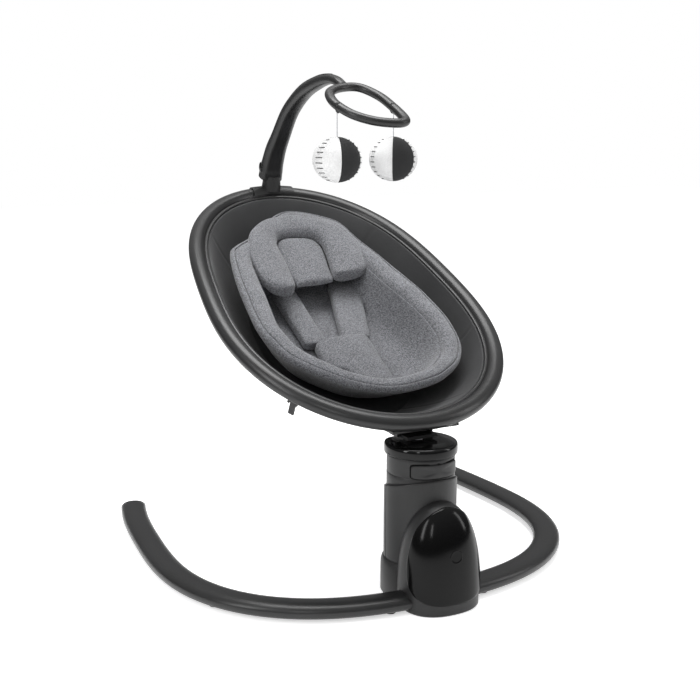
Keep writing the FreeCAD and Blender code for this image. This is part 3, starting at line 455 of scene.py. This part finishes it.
column_plan = d_plan(60.0, 40.0, 720, groove=1.1)
step = 189 - (column_plan[:, 1]) * math.tan(math.radians(15))
mix = np.linspace(0, 1, 12)
low = np.full(len(column_plan), 56.0)
heights = [low + (step - 3.0 - low) * m for m in mix]
heights += [step - 1.8, step - 0.8, step - 0.2, step, step]
insets = [0.0] * 12 + [0.15, 0.6, 1.4, 2.4, 3.6]
piece("tower_column", rings_to_solid(column_plan, TOWER, insets, heights), "base",
      tower_plastic, ["column_front_shell", "column_rear_shell"])

collar_plan = d_plan(56.0, 36.0, 480)
collar_heights = [170, 200, 207.2, 208, 208.6, 209.6, 210.4, 225, 236, 239.4, 240.4, 240.8]
collar_insets = [0, 0, 0, 0.5, 1.0, 0.5, 0, 0, 0, 0.3, 1.2, 3.0]
piece("tower_collar", rings_to_solid(collar_plan, TOWER, collar_insets, collar_heights),
      "base", tower_plastic, ["upper_collar"])

cap_plan = d_plan(60.8, 40.8, 480)
cap_heights = [241.4, 241.1, 241.6, 243, 247, 252, 255.2, 257.0, 257.7, 258.0, 258.0]
cap_insets = [4.0, 1.2, 0.3, 0, 0, 0.2, 0.8, 2.0, 3.6, 6.0, 20.0]
piece("tower_cap", rings_to_solid(cap_plan, TOWER, cap_insets, cap_heights), "base",
      cap_gloss, ["top_cap"])


# %% Release tab
def curved_plate(radius, half_angle, low_z, high_z, thick, columns=40):
    """A plate bent round the tower: a rounded rectangle in (arc length, height), raised by
    thick inside its edge and closed behind."""
    half_length = radius * half_angle
    half_height = (high_z - low_z) / 2
    edge = oval(half_length, half_height, 4 * columns, 7.0)
    share = np.concatenate([[0, 0.5, 0.8, 0.93, 0.975, 0.993, 1.0], [1.0, 0.5, 0]])
    lift = np.concatenate([[thick] * 4, [thick * 0.93, thick * 0.6, 0.0], [-1.0, -1.0, -1.0]])
    s = edge[None, :, 0] * share[:, None]
    z = edge[None, :, 1] * share[:, None] + (low_z + high_z) / 2
    r = radius + lift[:, None]
    a = s / radius
    return xyz(r * np.sin(a), -5 - r * np.cos(a), z)


# Painted shade: this darker plate, a little wider than the tab, stands in for the shadow in the gap
# round it.
piece("release_gap_painted_shade", curved_plate(55.6, math.radians(49), 208.2, 234.4, 0.75), "base",
      painted_gap_shade_plastic)
piece("release_plate", curved_plate(55.6, math.radians(46), 209.8, 232.6, 3.4),
      "release_tab", tower_plastic, ["release_tab"])

# %% [markdown]
# ## The rounded foot and its shield
# The drive foot bulges out in front like half an egg.  At each height its plan is a
# superellipse, and both half-sizes shrink towards the top by a superellipse of their own.
# The shield is a patch of the same surface lifted a few millimetres, with a rolled edge.

# %% Foot and dome
DOME_X, DOME_Y, DOME_MID, DOME_TOP, DOME_BASE = 66.0, 57.0, -65.0, 172.0, 15.0


def dome_point(angle, z, lift=0.0):
    """Plan |x/a|^p + |y/b|^p = 1 in polar form; a and b shrink as (1 - h^q)^(1/q)."""
    h = np.clip((z - DOME_BASE) / (DOME_TOP - DOME_BASE), 0, 0.99999)
    shrink = (1 - h ** 2.45) ** (1 / 2.45)
    p = 2.35
    plan = (np.abs(np.sin(angle) / DOME_X) ** p + np.abs(np.cos(angle) / DOME_Y) ** p) ** (-1 / p)
    r = plan * shrink
    out = r + lift * (1 - 0.6 * h ** 4)
    return xyz(out * np.sin(angle), DOME_MID - out * np.cos(angle), z + lift * h ** 4)


turn = np.linspace(0, 2 * math.pi, 160, endpoint=False)
heights = np.concatenate([[1.0, 3.0, 8.0], 15 + 157 * np.sin(np.linspace(0.03, math.pi / 2, 48))])
dome_grid = dome_point(turn[None], heights[:, None])
dome_grid[0] = dome_grid[0] * [0.985, 0.985, 1] + [0, -0.6, 0]
piece("foot_dome", capped(dome_grid), "base", tower_plastic, ["foot_housing"])

skirt_plan = d_plan(65.0, 54.0, 360, 10.0)
piece("foot_skirt", rings_to_solid(skirt_plan, TOWER, [1.5, 0, 0, 0.4, 2.2, 4.0, 5.0, 5.6],
                                   [1.0, 3.0, 40.0, 52.0, 59.0, 61.6, 62.4, 62.6]),
      "base", tower_plastic)


# %% Shield and power button
SHIELD_TURN, SHIELD_MIDDLE, SHIELD_RISE = math.radians(84), 94, 75


def shield_edge(t):
    """A superellipse of power 3 in (angle, height), so that its top is a round arc."""
    across = np.sign(np.cos(t)) * np.abs(np.cos(t)) ** (2 / 3)
    up = np.sign(np.sin(t)) * np.abs(np.sin(t)) ** (2 / 3)
    return SHIELD_TURN * across, SHIELD_MIDDLE - 1 + SHIELD_RISE * up


t = np.linspace(0, 2 * math.pi, 200, endpoint=False)
edge_angle, edge_z = shield_edge(t)
share = np.array([0.0, 0.15, 0.3, 0.45, 0.6, 0.72, 0.82, 0.9, 0.95, 0.975, 0.99, 1.0, 1.0])
lift = np.array([2.6, 2.6, 2.6, 2.6, 2.6, 2.6, 2.6, 2.6, 2.5, 2.2, 1.5, 0.3, -1.0])
shield = dome_point(edge_angle[None] * share[:, None],
                    SHIELD_MIDDLE + (edge_z[None] - SHIELD_MIDDLE) * share[:, None], lift[:, None])
back = dome_point(edge_angle[None] * 0.0, SHIELD_MIDDLE + edge_z[None] * 0.0, -1.0)
piece("glossy_shield", np.concatenate([shield, back]), "base", shield_gloss, ["control_panel"])

button_share = np.array([0.0, 0.5, 0.7, 0.8, 0.86, 0.92, 0.97, 1.0])
button_lift = np.array([2.7, 2.75, 2.8, 2.9, 3.1, 3.15, 2.9, 2.2])
spot = 11.0 * button_share[:, None]
button_grid = dome_point(spot * np.cos(t)[None] / (0.91 * DOME_Y), 97 + spot * np.sin(t)[None],
                         button_lift[:, None])
piece("power_key", button_grid, "power_button", shield_gloss, ["power_button"])

# %% [markdown]
# ## The seat ring
# The ring is an egg-shaped loop, tilted up at the head.  Everything on the seat is worked
# out in the ring's own plane, as x across, u towards the head and l above the plane, and
# then turned into place.  The ring has a wide top cover that overhangs a slimmer under
# cover, which leaves the thin shadow line along its outer side, and a lip inside it that
# grips the cloth.

# %% Seat plane and ring
RING_CENTRE = np.array([0.0, 284.0, 459.8])


def on_seat(x, u, l):
    """Turn (x, u, l) by the seat's tilt about X and move it to the ring's centre."""
    c, s = math.cos(SEAT_TILT), math.sin(SEAT_TILT)
    return xyz(x, u * c - l * s, u * s + l * c) + RING_CENTRE


def ring_radius(t):
    """r = 287.8 (1 + .0086 cos t + .1924 cos 2t + .0217 cos 3t + .0093 cos 4t)."""
    return 287.8 * (1 + 0.0086 * np.cos(t) + 0.1924 * np.cos(2 * t) + 0.0217 * np.cos(3 * t)
                    + 0.0093 * np.cos(4 * t))


def ring_frames(count):
    """The ring's line in its plane, with the outward direction at every point."""
    t = np.linspace(0, 2 * math.pi, count, endpoint=False)
    line = np.stack([ring_radius(t) * np.sin(t), ring_radius(t) * np.cos(t)], -1)
    along = np.roll(line, -1, 0) - np.roll(line, 1, 0)
    along /= np.linalg.norm(along, axis=1, keepdims=True)
    return line, np.stack([-along[:, 1], along[:, 0]], -1)


ring_line, ring_out = ring_frames(360)


def round_ring(profile):
    """Carry profile points (outward, up) round the ring's line."""
    where = ring_line[:, None] + profile[None, :, :1] * ring_out[:, None]
    return on_seat(where[..., 0], where[..., 1], profile[None, :, 1])


arc = np.radians(np.linspace(-22, 202, 44))
shoulder = np.column_stack([12 + 15.0 * np.cos(arc), -6 + 13.0 * np.sin(arc)])
hem = np.array([[-1.2, -12.2], [0.0, -13.0], [12.0, -13.5], [24.0, -13.0], [25.4, -12.2]])
piece("ring_top_cover", round_ring(np.vstack([shoulder, hem])), "seat", ring_coat,
      ["ring_upper_shell"], close_rows=True)
piece("ring_under_cover", round_ring(oval(13.4, 12.6, 48) + [12.0, -6.6]), "seat", ring_coat,
      ["ring_lower_shell"], close_rows=True)
piece("ring_cloth_lip", round_ring(oval(4.0, 4.2, 24, 2.6) + [-5.2, -5.4]), "seat", ring_coat,
      ["ring_lip"], close_rows=True)

# %% [markdown]
# ## The stretched sling
# A bowl of black cloth hangs from the ring.  At each direction round the ring a profile
# drops from the lip to the floor of the bowl; inner and outer skins are three millimetres
# apart.  The cloth is pulled flat between its seams, so the seams are shallow grooves that
# run down the wall, and soft waves die out towards the tight upper edge.

# %% Sling
def egg_line(t, half, foot, head):
    """Superellipse-like egg: half-width by sin, length towards head and foot by cos."""
    c, s = np.cos(t), np.sin(t)
    reach = np.where(c > 0, head, -foot)
    return np.stack([half * s * (1 + 0.06 * np.cos(2 * t)), reach * c], -1)


t = np.linspace(0, 2 * math.pi, 480, endpoint=False)
top = np.stack([(ring_radius(t) - 8.5) * np.sin(t), (ring_radius(t) - 8.5) * np.cos(t)], -1)
floor = egg_line(t, 150.0, -215.0, 225.0)
SEAM_REACH = 260


def sling_skin(down, thick):
    """Point at share d down the wall: from the lip to the floor, bowed outwards by a sine,
    with seam grooves at set directions and waves that grow with d."""
    d = down[:, None]
    line = top[None] * (1 - d)[..., None] + floor[None] * d[..., None]
    out = top / np.linalg.norm(top, axis=1, keepdims=True)
    bow = 15.0 * np.sin(math.pi * d) * (1 - 0.35 * np.cos(2 * t)[None])
    wave = 1.4 * np.sin(7 * t + 0.6)[None] * d ** 2 * (1 - d) * 4
    seams = 0
    for at in np.radians([38, 322, 118, 242, 160, 200]):
        gap = (t - at + math.pi) % (2 * math.pi) - math.pi
        seams = seams + np.exp(-(gap * SEAM_REACH / 2.2) ** 2)[None]
        seams = seams - 0.25 * np.exp(-(gap * SEAM_REACH / 9) ** 2)[None]
    shift = bow + wave + 1.6 * seams * np.minimum(1, d * 8) - thick
    level = -5.2 - (120.0 - 5.2 - thick) * d ** 1.12
    line = line + out[None] * shift[..., None]
    return on_seat(line[..., 0], line[..., 1], level + 0 * shift)


def bowl_floor(share, level):
    """The floor of the bowl closes to a point as share goes from 1 to 0."""
    line = floor[None] * share[:, None, None]
    return on_seat(line[..., 0], line[..., 1], level)


inward = np.array([0.93, 0.8, 0.6, 0.35, 0.12, 0.0])
skin = [sling_skin(np.linspace(0, 1, 60), 3.0), bowl_floor(inward, -116.8),
        bowl_floor(inward[::-1], -120.2), sling_skin(np.linspace(1, 0, 60), 0.0)]
sling = piece("fabric_bowl", np.concatenate(skin), "seat", sling_cloth, ["fabric_sling"],
              close_rows=True)

# %% [markdown]
# ## The padded insert
# The grey insert is a stuffed bowl of its own.  A profile from the middle of its underside,
# up the outer wall, over the rolled rim and down to the hollow is scaled by the outline at
# each direction.  A stitched line runs a finger's width inside the rim, and a second seam
# marks where the rim meets the lining.

# %% Insert
INSERT_EDGE = [(0, 301), (41, 299), (88, 276), (110, 252), (123, 193), (144, 125), (163, 56),
               (177, -4), (184, -64), (182, -112), (170, -164), (146, -203), (110, -231),
               (69, -249), (0, -259), (-67, -243), (-121, -201), (-161, -154), (-178, -110),
               (-186, -63), (-182, 12), (-173, 90), (-157, 166), (-141, 188), (-98, 219),
               (-40, 275)]
edge_xy = smooth(INSERT_EDGE, 520, closed=True)
edge_t = np.arctan2(edge_xy[:, 0], edge_xy[:, 1]) % (2 * math.pi)
order = np.argsort(edge_t)
t = np.linspace(0, 2 * math.pi, 480, endpoint=False)
edge_r = np.interp(t, edge_t[order], np.linalg.norm(edge_xy, axis=1)[order], period=2 * math.pi)
band = 44 - 14 * np.clip(-np.cos(t), 0, 1) ** 3 + 6 * np.clip(np.cos(t), 0, 1)
WALL = [(0.0, -113), (0.1, -113), (0.45, -113), (0.60, -108), (0.74, -88), (0.86, -58),
        (0.955, -33),
        (0.992, -23), (1.0, -18)]
RIM = [(0.0, -18), (0.0, -15), (0.03, -11.0), (0.09, -8.2), (0.16, -7.2), (0.20, -10.6),
       (0.24, -6.6),
       (0.40, -4.2), (0.62, -4.0), (0.82, -7.5), (0.93, -12.5), (0.985, -17.5), (1.0, -20.5)]
HOLLOW = [(0.0, -20.5), (0.005, -19.5), (0.02, -22), (0.055, -42), (0.10, -64), (0.16, -81),
          (0.24, -90), (0.36, -93.5), (0.6, -94), (0.8, -94), (1.0, -94)]
wall, top_rim, lining = smooth(WALL, 40)[:-1], smooth(RIM, 70)[:-1], smooth(HOLLOW, 60)
radius = np.concatenate([wall[:, :1] * edge_r, edge_r - top_rim[:, :1] * band,
                         (edge_r - band) * (1 - lining[:, :1])])
level = np.concatenate([wall[:, 1:], top_rim[:, 1:], lining[:, 1:]])
depth = np.concatenate([np.zeros(len(wall)), np.zeros(len(top_rim)),
                        np.minimum(1, lining[:, 0] * 6)])[:, None]
x, u = radius * np.sin(t), radius * np.cos(t)
head_rise = 58 * np.clip((u - 130) / 120, 0, 1) ** 1.3 * depth
on_band = np.concatenate([np.zeros(len(wall)), np.sin(math.pi * top_rim[:, 0]),
                          np.zeros(len(lining))])[:, None]
puff = (1.2 * np.sin(9 * t + 1.0) + 0.7 * np.sin(17 * t)) * on_band
ripple = 1.6 * np.sin(5 * t + 2.0) * depth * np.exp(-((level + 60) / 25) ** 2)
insert = piece("padded_insert", on_seat(x, u, level + head_rise + puff + ripple), "seat",
               jersey, ["seat_insert"])

# %% [markdown]
# ## Cushions between two edges
# Each small cushion is stretched between two edge lines.  Across it, the upper and lower
# skins bulge away from the seam as the sine of the way round, raised to a power so that the
# pad is full close to its seam.  Along it, both the width and the bulge close at the ends.

# %% Pad builder
def pad_between(name, left, right, thick, base, full=0.62, ends=0.16, rows=120, around=64,
                seam=0.0, dent=None, lining=jersey, sag=0.18, closed_ends=8):
    """Skins at w = (1 - cos a)/2 from left to right edge, height thick |sin a|^full times
    an end factor (1 - |2s - 1|^closed_ends)^full; base gives the level under (x, u)."""
    a = np.linspace(0, 2 * math.pi, around, endpoint=False)
    s = np.linspace(0, 1, rows)
    near, far = smooth(left, rows), smooth(right, rows)
    w = (1 - np.cos(a))[None, :, None] / 2
    line = near[:, None] * (1 - w) + far[:, None] * w
    end = (1 - np.abs(2 * s - 1) ** closed_ends) ** full
    wave = np.sign(np.sin(a)) * np.abs(np.sin(a)) ** full
    height = np.where(wave > 0, thick, thick * sag)[None] * wave[None] * end[:, None]
    groove = seam * np.exp(-((w[..., 0] - ends) / 0.02) ** 2) + seam * np.exp(
        -((1 - w[..., 0] - ends) / 0.02) ** 2)
    height = height - np.where(wave > 0, 1, 0)[None] * groove
    if dent is not None:
        height = height + dent(line[..., 0], line[..., 1]) * (wave > 0)[None]
    level = base(line[..., 0], line[..., 1]) + height
    obj = piece(name, on_seat(line[..., 0], line[..., 1], level), "seat", lining,
                close_rows=False)
    return obj


def head_level(x, u):
    """The head cushions lie on a slope that rises towards the head."""
    return -61.0 + 0.205 * u + 0.0009 * x ** 2


def hollow_ripple(x, u):
    """Slow ripples of the cover, under a millimetre high."""
    return 0.9 * np.sin(x / 11.0 + 0.7) * np.sin(u / 17.0)


outer_edge = [(-66, 66), (-86, 62), (-107, 70), (-120, 94), (-124, 132), (-119, 176), (-99, 218),
              (-58, 250), (-3, 263), (49, 250), (87, 218), (107, 176), (112, 138), (108, 112),
              (95, 98), (71, 94), (47, 94)]
inner_edge = [(-64, 68), (-55, 78), (-53, 98), (-53, 132), (-55, 166), (-53, 193), (-39, 211),
              (-4, 216), (29, 211), (42, 193), (43, 166), (40, 138), (37, 118), (37, 102), (45, 95)]
head_horseshoe = pad_between("head_horseshoe", outer_edge, inner_edge, 21.0, head_level, 0.46,
                             0.06, 280, 72, 0.8, hollow_ripple, closed_ends=30)
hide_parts("head_support")

centre_left = [(-44, 90), (-48, 104), (-51, 130), (-53, 166), (-51, 190), (-42, 205), (-24, 210)]
centre_right = [(34, 98), (36, 108), (37.5, 132), (41, 166), (39, 190), (30, 205), (12, 210)]
head_middle = pad_between("head_middle_pad", centre_left, centre_right, 12.0,
                          lambda x, u: head_level(x, u) - 5, 0.5, 0.05, 100, 64, 0.0,
                          hollow_ripple)
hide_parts("head_pad")


def rounded_strip(centre, half, top_u, low_u, corner=9.0, count=40):
    """Edges of a strip: its centre line plus or minus a half-width that rounds off at both
    ends by a circle of the corner's radius."""
    s = 0.5 - 0.5 * np.cos(np.linspace(0, math.pi, count))
    u = top_u + (low_u - top_u) * s
    mid = np.interp(s, [0, 1], centre)
    away = np.minimum(np.minimum(np.abs(u - top_u), np.abs(u - low_u)), corner)
    width = np.interp(s, [0, 1], half) - corner + np.sqrt(corner ** 2 - (corner - away) ** 2)
    return np.column_stack([mid - width, u]), np.column_stack([mid + width, u])


def shoulder_level(x, u):
    return -85.0 + 0.03 * u


for side_name, mids, halves, top_u, low_u in (("left", (-57, -52), (23.0, 22.0), 124, -44),
                                              ("right", (79, 31), (33.0, 29.0), 136, -40)):
    edges = rounded_strip(mids, halves, top_u, low_u, 9.0)
    strap = pad_between("shoulder_cover_" + side_name, edges[0], edges[1], 15.0,
                        shoulder_level, 0.30, 0.06, 110, 56, 0.5, hollow_ripple, sag=0.3)
    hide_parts("shoulder_pad_" + side_name)

waist_left = [(-50, -44), (-56, -48), (-60, -58), (-61, -84), (-60, -104), (-50, -120), (-34, -128),
              (-27, -138), (-25, -152), (-23, -168), (-16, -178)]
waist_right = [(44, -36), (49, -40), (52, -56), (52, -84), (50, -112), (51, -122), (52, -130),
               (52, -140), (52, -154), (50, -172), (43, -180)]


def waist_level(x, u):
    return -79.0 - 0.0010 * x ** 2 + 0.05 * (u + 60)


waist = pad_between("waist_cover", waist_left, waist_right, 16.0, waist_level, 0.30, 0.05, 120, 64,
                    0.5, hollow_ripple, sag=0.3)
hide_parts("waist_pad")


# %% Harness straps
def ribbon(centre_line, width, thick=1.6):
    """A flat strap: a superellipse section carried along a line on the seat."""
    path = smooth(centre_line, 60)
    along = np.gradient(path, axis=0)
    along /= np.linalg.norm(along, axis=1, keepdims=True)
    across = np.stack([along[:, 1], -along[:, 0], 0 * along[:, 0]], -1)
    across /= np.linalg.norm(across, axis=1, keepdims=True)
    up = np.cross(across, along)
    grid = carried(path, across, up, oval(width / 2, thick / 2, 28, 5.0))
    return capped(on_seat(grid[..., 0], grid[..., 1], grid[..., 2]))


straps = [ribbon([(s * 62, 120, -91), (s * 58, 60, -90), (s * 50, 0, -90), (s * 44, -60, -90),
                  (s * 38, -90, -90)], 25) for s in (-1, 1)]
straps.append(ribbon([(10, -110, -91), (10, -150, -90), (10, -186, -88)], 25))
piece("harness_straps", straps, "seat", strap_cloth, ["harness_webbing"])

# %% [markdown]
# ## The toy arm
# The arm rises from a sleeve on the ring and leans over the seat.  Its line is drawn in the
# middle plane; the section is an oval that tapers from a broad foot to a slim tip.  A darker
# inlay runs along its inner face, and the hoop at its end is a bar bent on an uneven egg.  The
# release key is a low dome on the side of the arm's foot.

# %% Arm and hoop
ARM_LINE = [(614, 656), (609, 668), (600, 686), (582, 713), (557, 739), (508, 787), (444, 821),
            (381, 837), (336, 842), (303, 838), (277, 828)]
yz = smooth(ARM_LINE, 150)
arm_path = np.column_stack([np.zeros(len(yz)), yz])
along = np.gradient(arm_path, axis=0)
along /= np.linalg.norm(along, axis=1, keepdims=True)
X = np.broadcast_to([1.0, 0, 0], arm_path.shape)
normal = np.cross(X, along)
s = np.linspace(0, 1, len(yz))
half_wide = np.interp(s, [0, 0.12, 0.3, 0.6, 0.85, 1], [23.0, 22.5, 20.0, 14.5, 9.6, 8.6])
half_deep = np.interp(s, [0, 0.12, 0.3, 0.6, 0.85, 1], [22.0, 21.5, 18.5, 13.2, 8.4, 6.8])
section = oval(1.0, 1.0, 56, 2.5)
arm_size = np.stack([half_wide, half_deep], -1)[:, None]
arm_grid = carried(arm_path, X, normal, section[None] * arm_size)
piece("toy_arm_bow", capped(arm_grid), "toy_arm", arm_plastic, ["toy_arm"])
keep = slice(8, 122)
inlay_path = arm_path[keep] - normal[keep] * (half_deep[keep, None] * 0.82)
inlay_size = np.stack([half_wide[keep] * 0.62, half_deep[keep] * 0.27], -1)
piece("toy_arm_inlay", capped(carried(inlay_path, X[keep], normal[keep],
                                      oval(1.0, 1.0, 40, 3.0)[None] * inlay_size[:, None])),
      "toy_arm", inlay_plastic)

HOOP = np.array([0.0, 198.0, 793.0])
HOOP_TILT = math.radians(24.2)
t = np.linspace(0, 2 * math.pi, 160, endpoint=False)
HOOP_LINE = [(-8, 78), (28, 80), (49, 45), (54, 0), (53, -48), (44, -66), (20, -69), (-12, -60),
             (-38, -36), (-50, 0), (-49, 30), (-38, 58)]
flat = smooth(HOOP_LINE, 160, closed=True)


def on_hoop(x, v, w):
    """Turn the hoop's plane about X by its tilt."""
    c, s = math.cos(HOOP_TILT), math.sin(HOOP_TILT)
    return xyz(x, v * c - w * s, v * s + w * c) + HOOP


step_xy = np.roll(flat, -1, 0) - np.roll(flat, 1, 0)
step_xy /= np.linalg.norm(step_xy, axis=1, keepdims=True)
out = np.stack([-step_xy[:, 1], step_xy[:, 0]], -1)
bar = oval(8.2, 7.4, 32, 2.2)
where = flat[:, None] + bar[None, :, :1] * out[:, None]
lift = np.broadcast_to(bar[None, :, 1], where.shape[:2])
piece("toy_hoop", on_hoop(where[..., 0], where[..., 1], lift),
      "toy_arm", arm_plastic, ["toy_loop"], close_rows=True)

key_share = np.array([0.0, 0.4, 0.7, 0.88, 0.97, 1.0, 1.0, 0.0])
key_out = np.array([24.2, 24.1, 23.8, 23.2, 22.4, 21.0, 14.0, 14.0])
spin = np.linspace(0, 2 * math.pi, 48, endpoint=False)
KEY_Y, KEY_Z = 610, 677
key_grid = xyz(-key_out[:, None] + 0 * spin, KEY_Y + 7.5 * key_share[:, None] * np.cos(spin),
               KEY_Z + 11 * key_share[:, None] * np.sin(spin))
piece("arm_release_key", key_grid,
      "arm_button", inlay_plastic, ["arm_button"])

# %% [markdown]
# ## The hanging balls
# Each ball is sewn from six felt gores, four white and two black, and hangs by a thin
# cord from a knot on the hoop.  The sphere is slightly flattened and pulled in along every
# seam.  Faces take the white or the black felt by their direction, and the long hand
# stitches that join two gores are small threads of their own.

# %% Balls, stitches, cords and knots
def unit_ball(rows=80, columns=160):
    """Directions over a sphere, poles at top and bottom."""
    up = np.linspace(0, math.pi, rows)[:, None]
    round_ = np.linspace(0, 2 * math.pi, columns, endpoint=False)[None]
    return xyz(np.sin(up) * np.sin(round_), -np.sin(up) * np.cos(round_), np.cos(up))


BALL_SIDE, BALL_Y, BALL_Z = 54.0, 192.0, 704.0


def hanging_ball(side, name, body, seam_turn, stitch_turns, stitch_count):
    centre = np.array([side * BALL_SIDE, BALL_Y, BALL_Z])
    sizes = np.array([42.0, 42.0, 38.0])
    d = unit_ball()
    around = np.arctan2(d[..., 0], -d[..., 1])
    gores = np.abs(np.sin(3 * (around - seam_turn)))
    pull = 1 - 0.018 * np.exp(-(gores / 0.10) ** 2) * np.clip(1.15 - np.abs(d[..., 2]), 0, 1)
    ball = piece("felt_ball_" + name, centre + d * sizes * pull[..., None], body, felt_white,
                 ["toy_ball_" + name])
    mesh = ball.data
    mesh.materials.append(felt_black)
    mid = np.zeros(len(mesh.polygons) * 3)
    mesh.polygons.foreach_get("center", mid)
    off = mid.reshape(-1, 3) / MM - centre
    turn_of = (np.arctan2(off[:, 0], -off[:, 1]) - seam_turn) % (2 * math.pi)
    gore = np.floor(turn_of / (math.pi / 3)).astype(int) % 6
    mesh.polygons.foreach_set("material_index", np.isin(gore, (0, 3)).astype(np.int32))
    threads = []
    for at, reach in stitch_turns:
        for height in np.radians(np.linspace(30, 150, stitch_count)):
            w = np.linspace(-1, 1, 9)[:, None]
            a = at + w * reach
            line = np.concatenate([np.sin(height) * np.sin(a), -np.sin(height) * np.cos(a),
                                   np.cos(height) + 0 * a], 1)
            path = centre + line * sizes * (1.004 + 0.008 * (1 - w ** 2))
            lengthwise = np.gradient(path, axis=0)
            lengthwise /= np.linalg.norm(lengthwise, axis=1, keepdims=True)
            lifted_way = line / np.linalg.norm(line, axis=1, keepdims=True)
            sideways = np.cross(lengthwise, lifted_way)
            threads.append(capped(carried(path, sideways, lifted_way, oval(0.65, 0.65, 6))))
    piece("ball_stitches_" + name, threads, body, thread_black)
    return centre


for side, name, seam, stitches in (
        (-1, "left", math.radians(-15.0), [(math.radians(-74), 0.20), (math.radians(45), 0.08)]),
        (1, "right", math.radians(-31.0), [(math.radians(29), 0.09), (math.radians(-88), 0.14)])):
    body = name + "_toy"
    centre = hanging_ball(side, name, body, seam, stitches, 10)
    top_z, hang_z = 742.0, 781.1
    curve = bpy.data.curves.new("toy_cord_" + name, "CURVE")
    curve.dimensions = "3D"
    spline = curve.splines.new("NURBS")
    levels = (hang_z, hang_z - 12, top_z + 12, top_z)
    points = np.array([[centre[0], BALL_Y, level] for level in levels]) * MM
    spline.points.add(len(points) - 1)
    spline.points.foreach_set("co", np.column_stack([points, np.ones(len(points))]).ravel())
    spline.order_u = 3
    spline.use_endpoint_u = True
    curve.bevel_depth = 0.0008
    curve.bevel_resolution = 4
    curve.use_fill_caps = True
    curve.materials.append(string_grey)
    cord = bpy.data.objects.new("toy_cord_" + name, curve)
    bpy.context.scene.collection.objects.link(cord)
    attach(cord, body)
    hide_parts("toy_string_" + name)
    knot_at = np.array([side * 52.0, BALL_Y, 790.0])
    knot = knot_at + unit_ball(20, 32) * np.array([5.4, 5.0, 9.6])
    piece("hoop_knot_" + name, knot, "toy_arm", arm_plastic)

# %% [markdown]
# ## The studio
# A white floor, a wide soft light overhead, two tall soft lights at the sides and a narrow
# one at the front left.  Black
# plastic shows only what it mirrors, so the lights' shapes draw the long highlights on the
# tube and ring.  The surroundings are bright above and dimmer in front, which keeps the
# glossy shield dark.

# %% Floor and lights
def soft_light(name, place, aim, size, power):
    """An area light at a place, turned to look at a point."""
    data = bpy.data.lights.new(name, "AREA")
    data.shape = "RECTANGLE"
    data.size, data.size_y = size
    data.energy = power
    light = bpy.data.objects.new(name, data)
    light.location = place
    way = np.array(aim) - np.array(place)
    flat_way = math.hypot(way[0], way[1])
    heading = math.atan2(way[1], way[0]) - math.pi / 2
    light.rotation_euler = (math.atan2(flat_way, -way[2]), 0, heading)
    bpy.context.scene.collection.objects.link(light)
    return light


soft_light("overhead_soft", (0.1, 0.5, 2.3), (0, 0.25, 0.3), (1.5, 1.1), 44)
soft_light("left_soft", (-2.2, -0.4, 1.5), (0, 0.2, 0.4), (0.5, 1.6), 22)
soft_light("front_left_soft", (-1.5, -1.9, 1.5), (0, -0.1, 0.15), (0.3, 0.9), 7)
soft_light("right_soft", (2.2, -1.1, 1.3), (0, 0.2, 0.35), (0.4, 1.6), 12)

floor_mesh = bpy.data.meshes.new("studio_floor")
floor_mesh.from_pydata([(-9, -9, 0), (9, -9, 0), (9, 9, 0), (-9, 9, 0)], [], [(0, 1, 2, 3)])
studio_floor = bpy.data.objects.new("studio_floor", floor_mesh)
bpy.context.scene.collection.objects.link(studio_floor)
paper = Recipe("white_paper_floor")
dust = paper.noise(paper.place(), 3.0)
floor_mesh.materials.append(paper.finish(
    Base_Color=paper.blend(dust, grey(0.93), grey(0.96)), Roughness=0.9 + dust * 0.05,
    Emission_Color=(1, 1, 1, 1), Emission_Strength=0.55))

world = bpy.data.worlds.new("studio_surroundings")
bpy.context.scene.world = world
world.use_nodes = True
tree = world.node_tree
sky = tree.nodes["Background"]
way = tree.nodes.new("ShaderNodeTexCoord")
split = tree.nodes.new("ShaderNodeSeparateXYZ")
shade = tree.nodes.new("ShaderNodeValToRGB")
seen = tree.nodes.new("ShaderNodeLightPath")
pick = tree.nodes.new("ShaderNodeMix")
pick.data_type = "RGBA"
tree.links.new(way.outputs["Generated"], split.inputs[0])
tree.links.new(split.outputs["Z"], shade.inputs[0])
shade.color_ramp.elements[0].position = 0.0
shade.color_ramp.elements[0].color = (0.10, 0.10, 0.105, 1)
shade.color_ramp.elements[1].position = 0.8
shade.color_ramp.elements[1].color = (0.75, 0.75, 0.75, 1)
tree.links.new(seen.outputs["Is Camera Ray"], pick.inputs["Factor"])
tree.links.new(shade.outputs[0], pick.inputs[6])
pick.inputs[7].default_value = (1.0, 1.0, 1.0, 1)
tree.links.new(pick.outputs[2], sky.inputs[0])
sky.inputs[1].default_value = 1.0
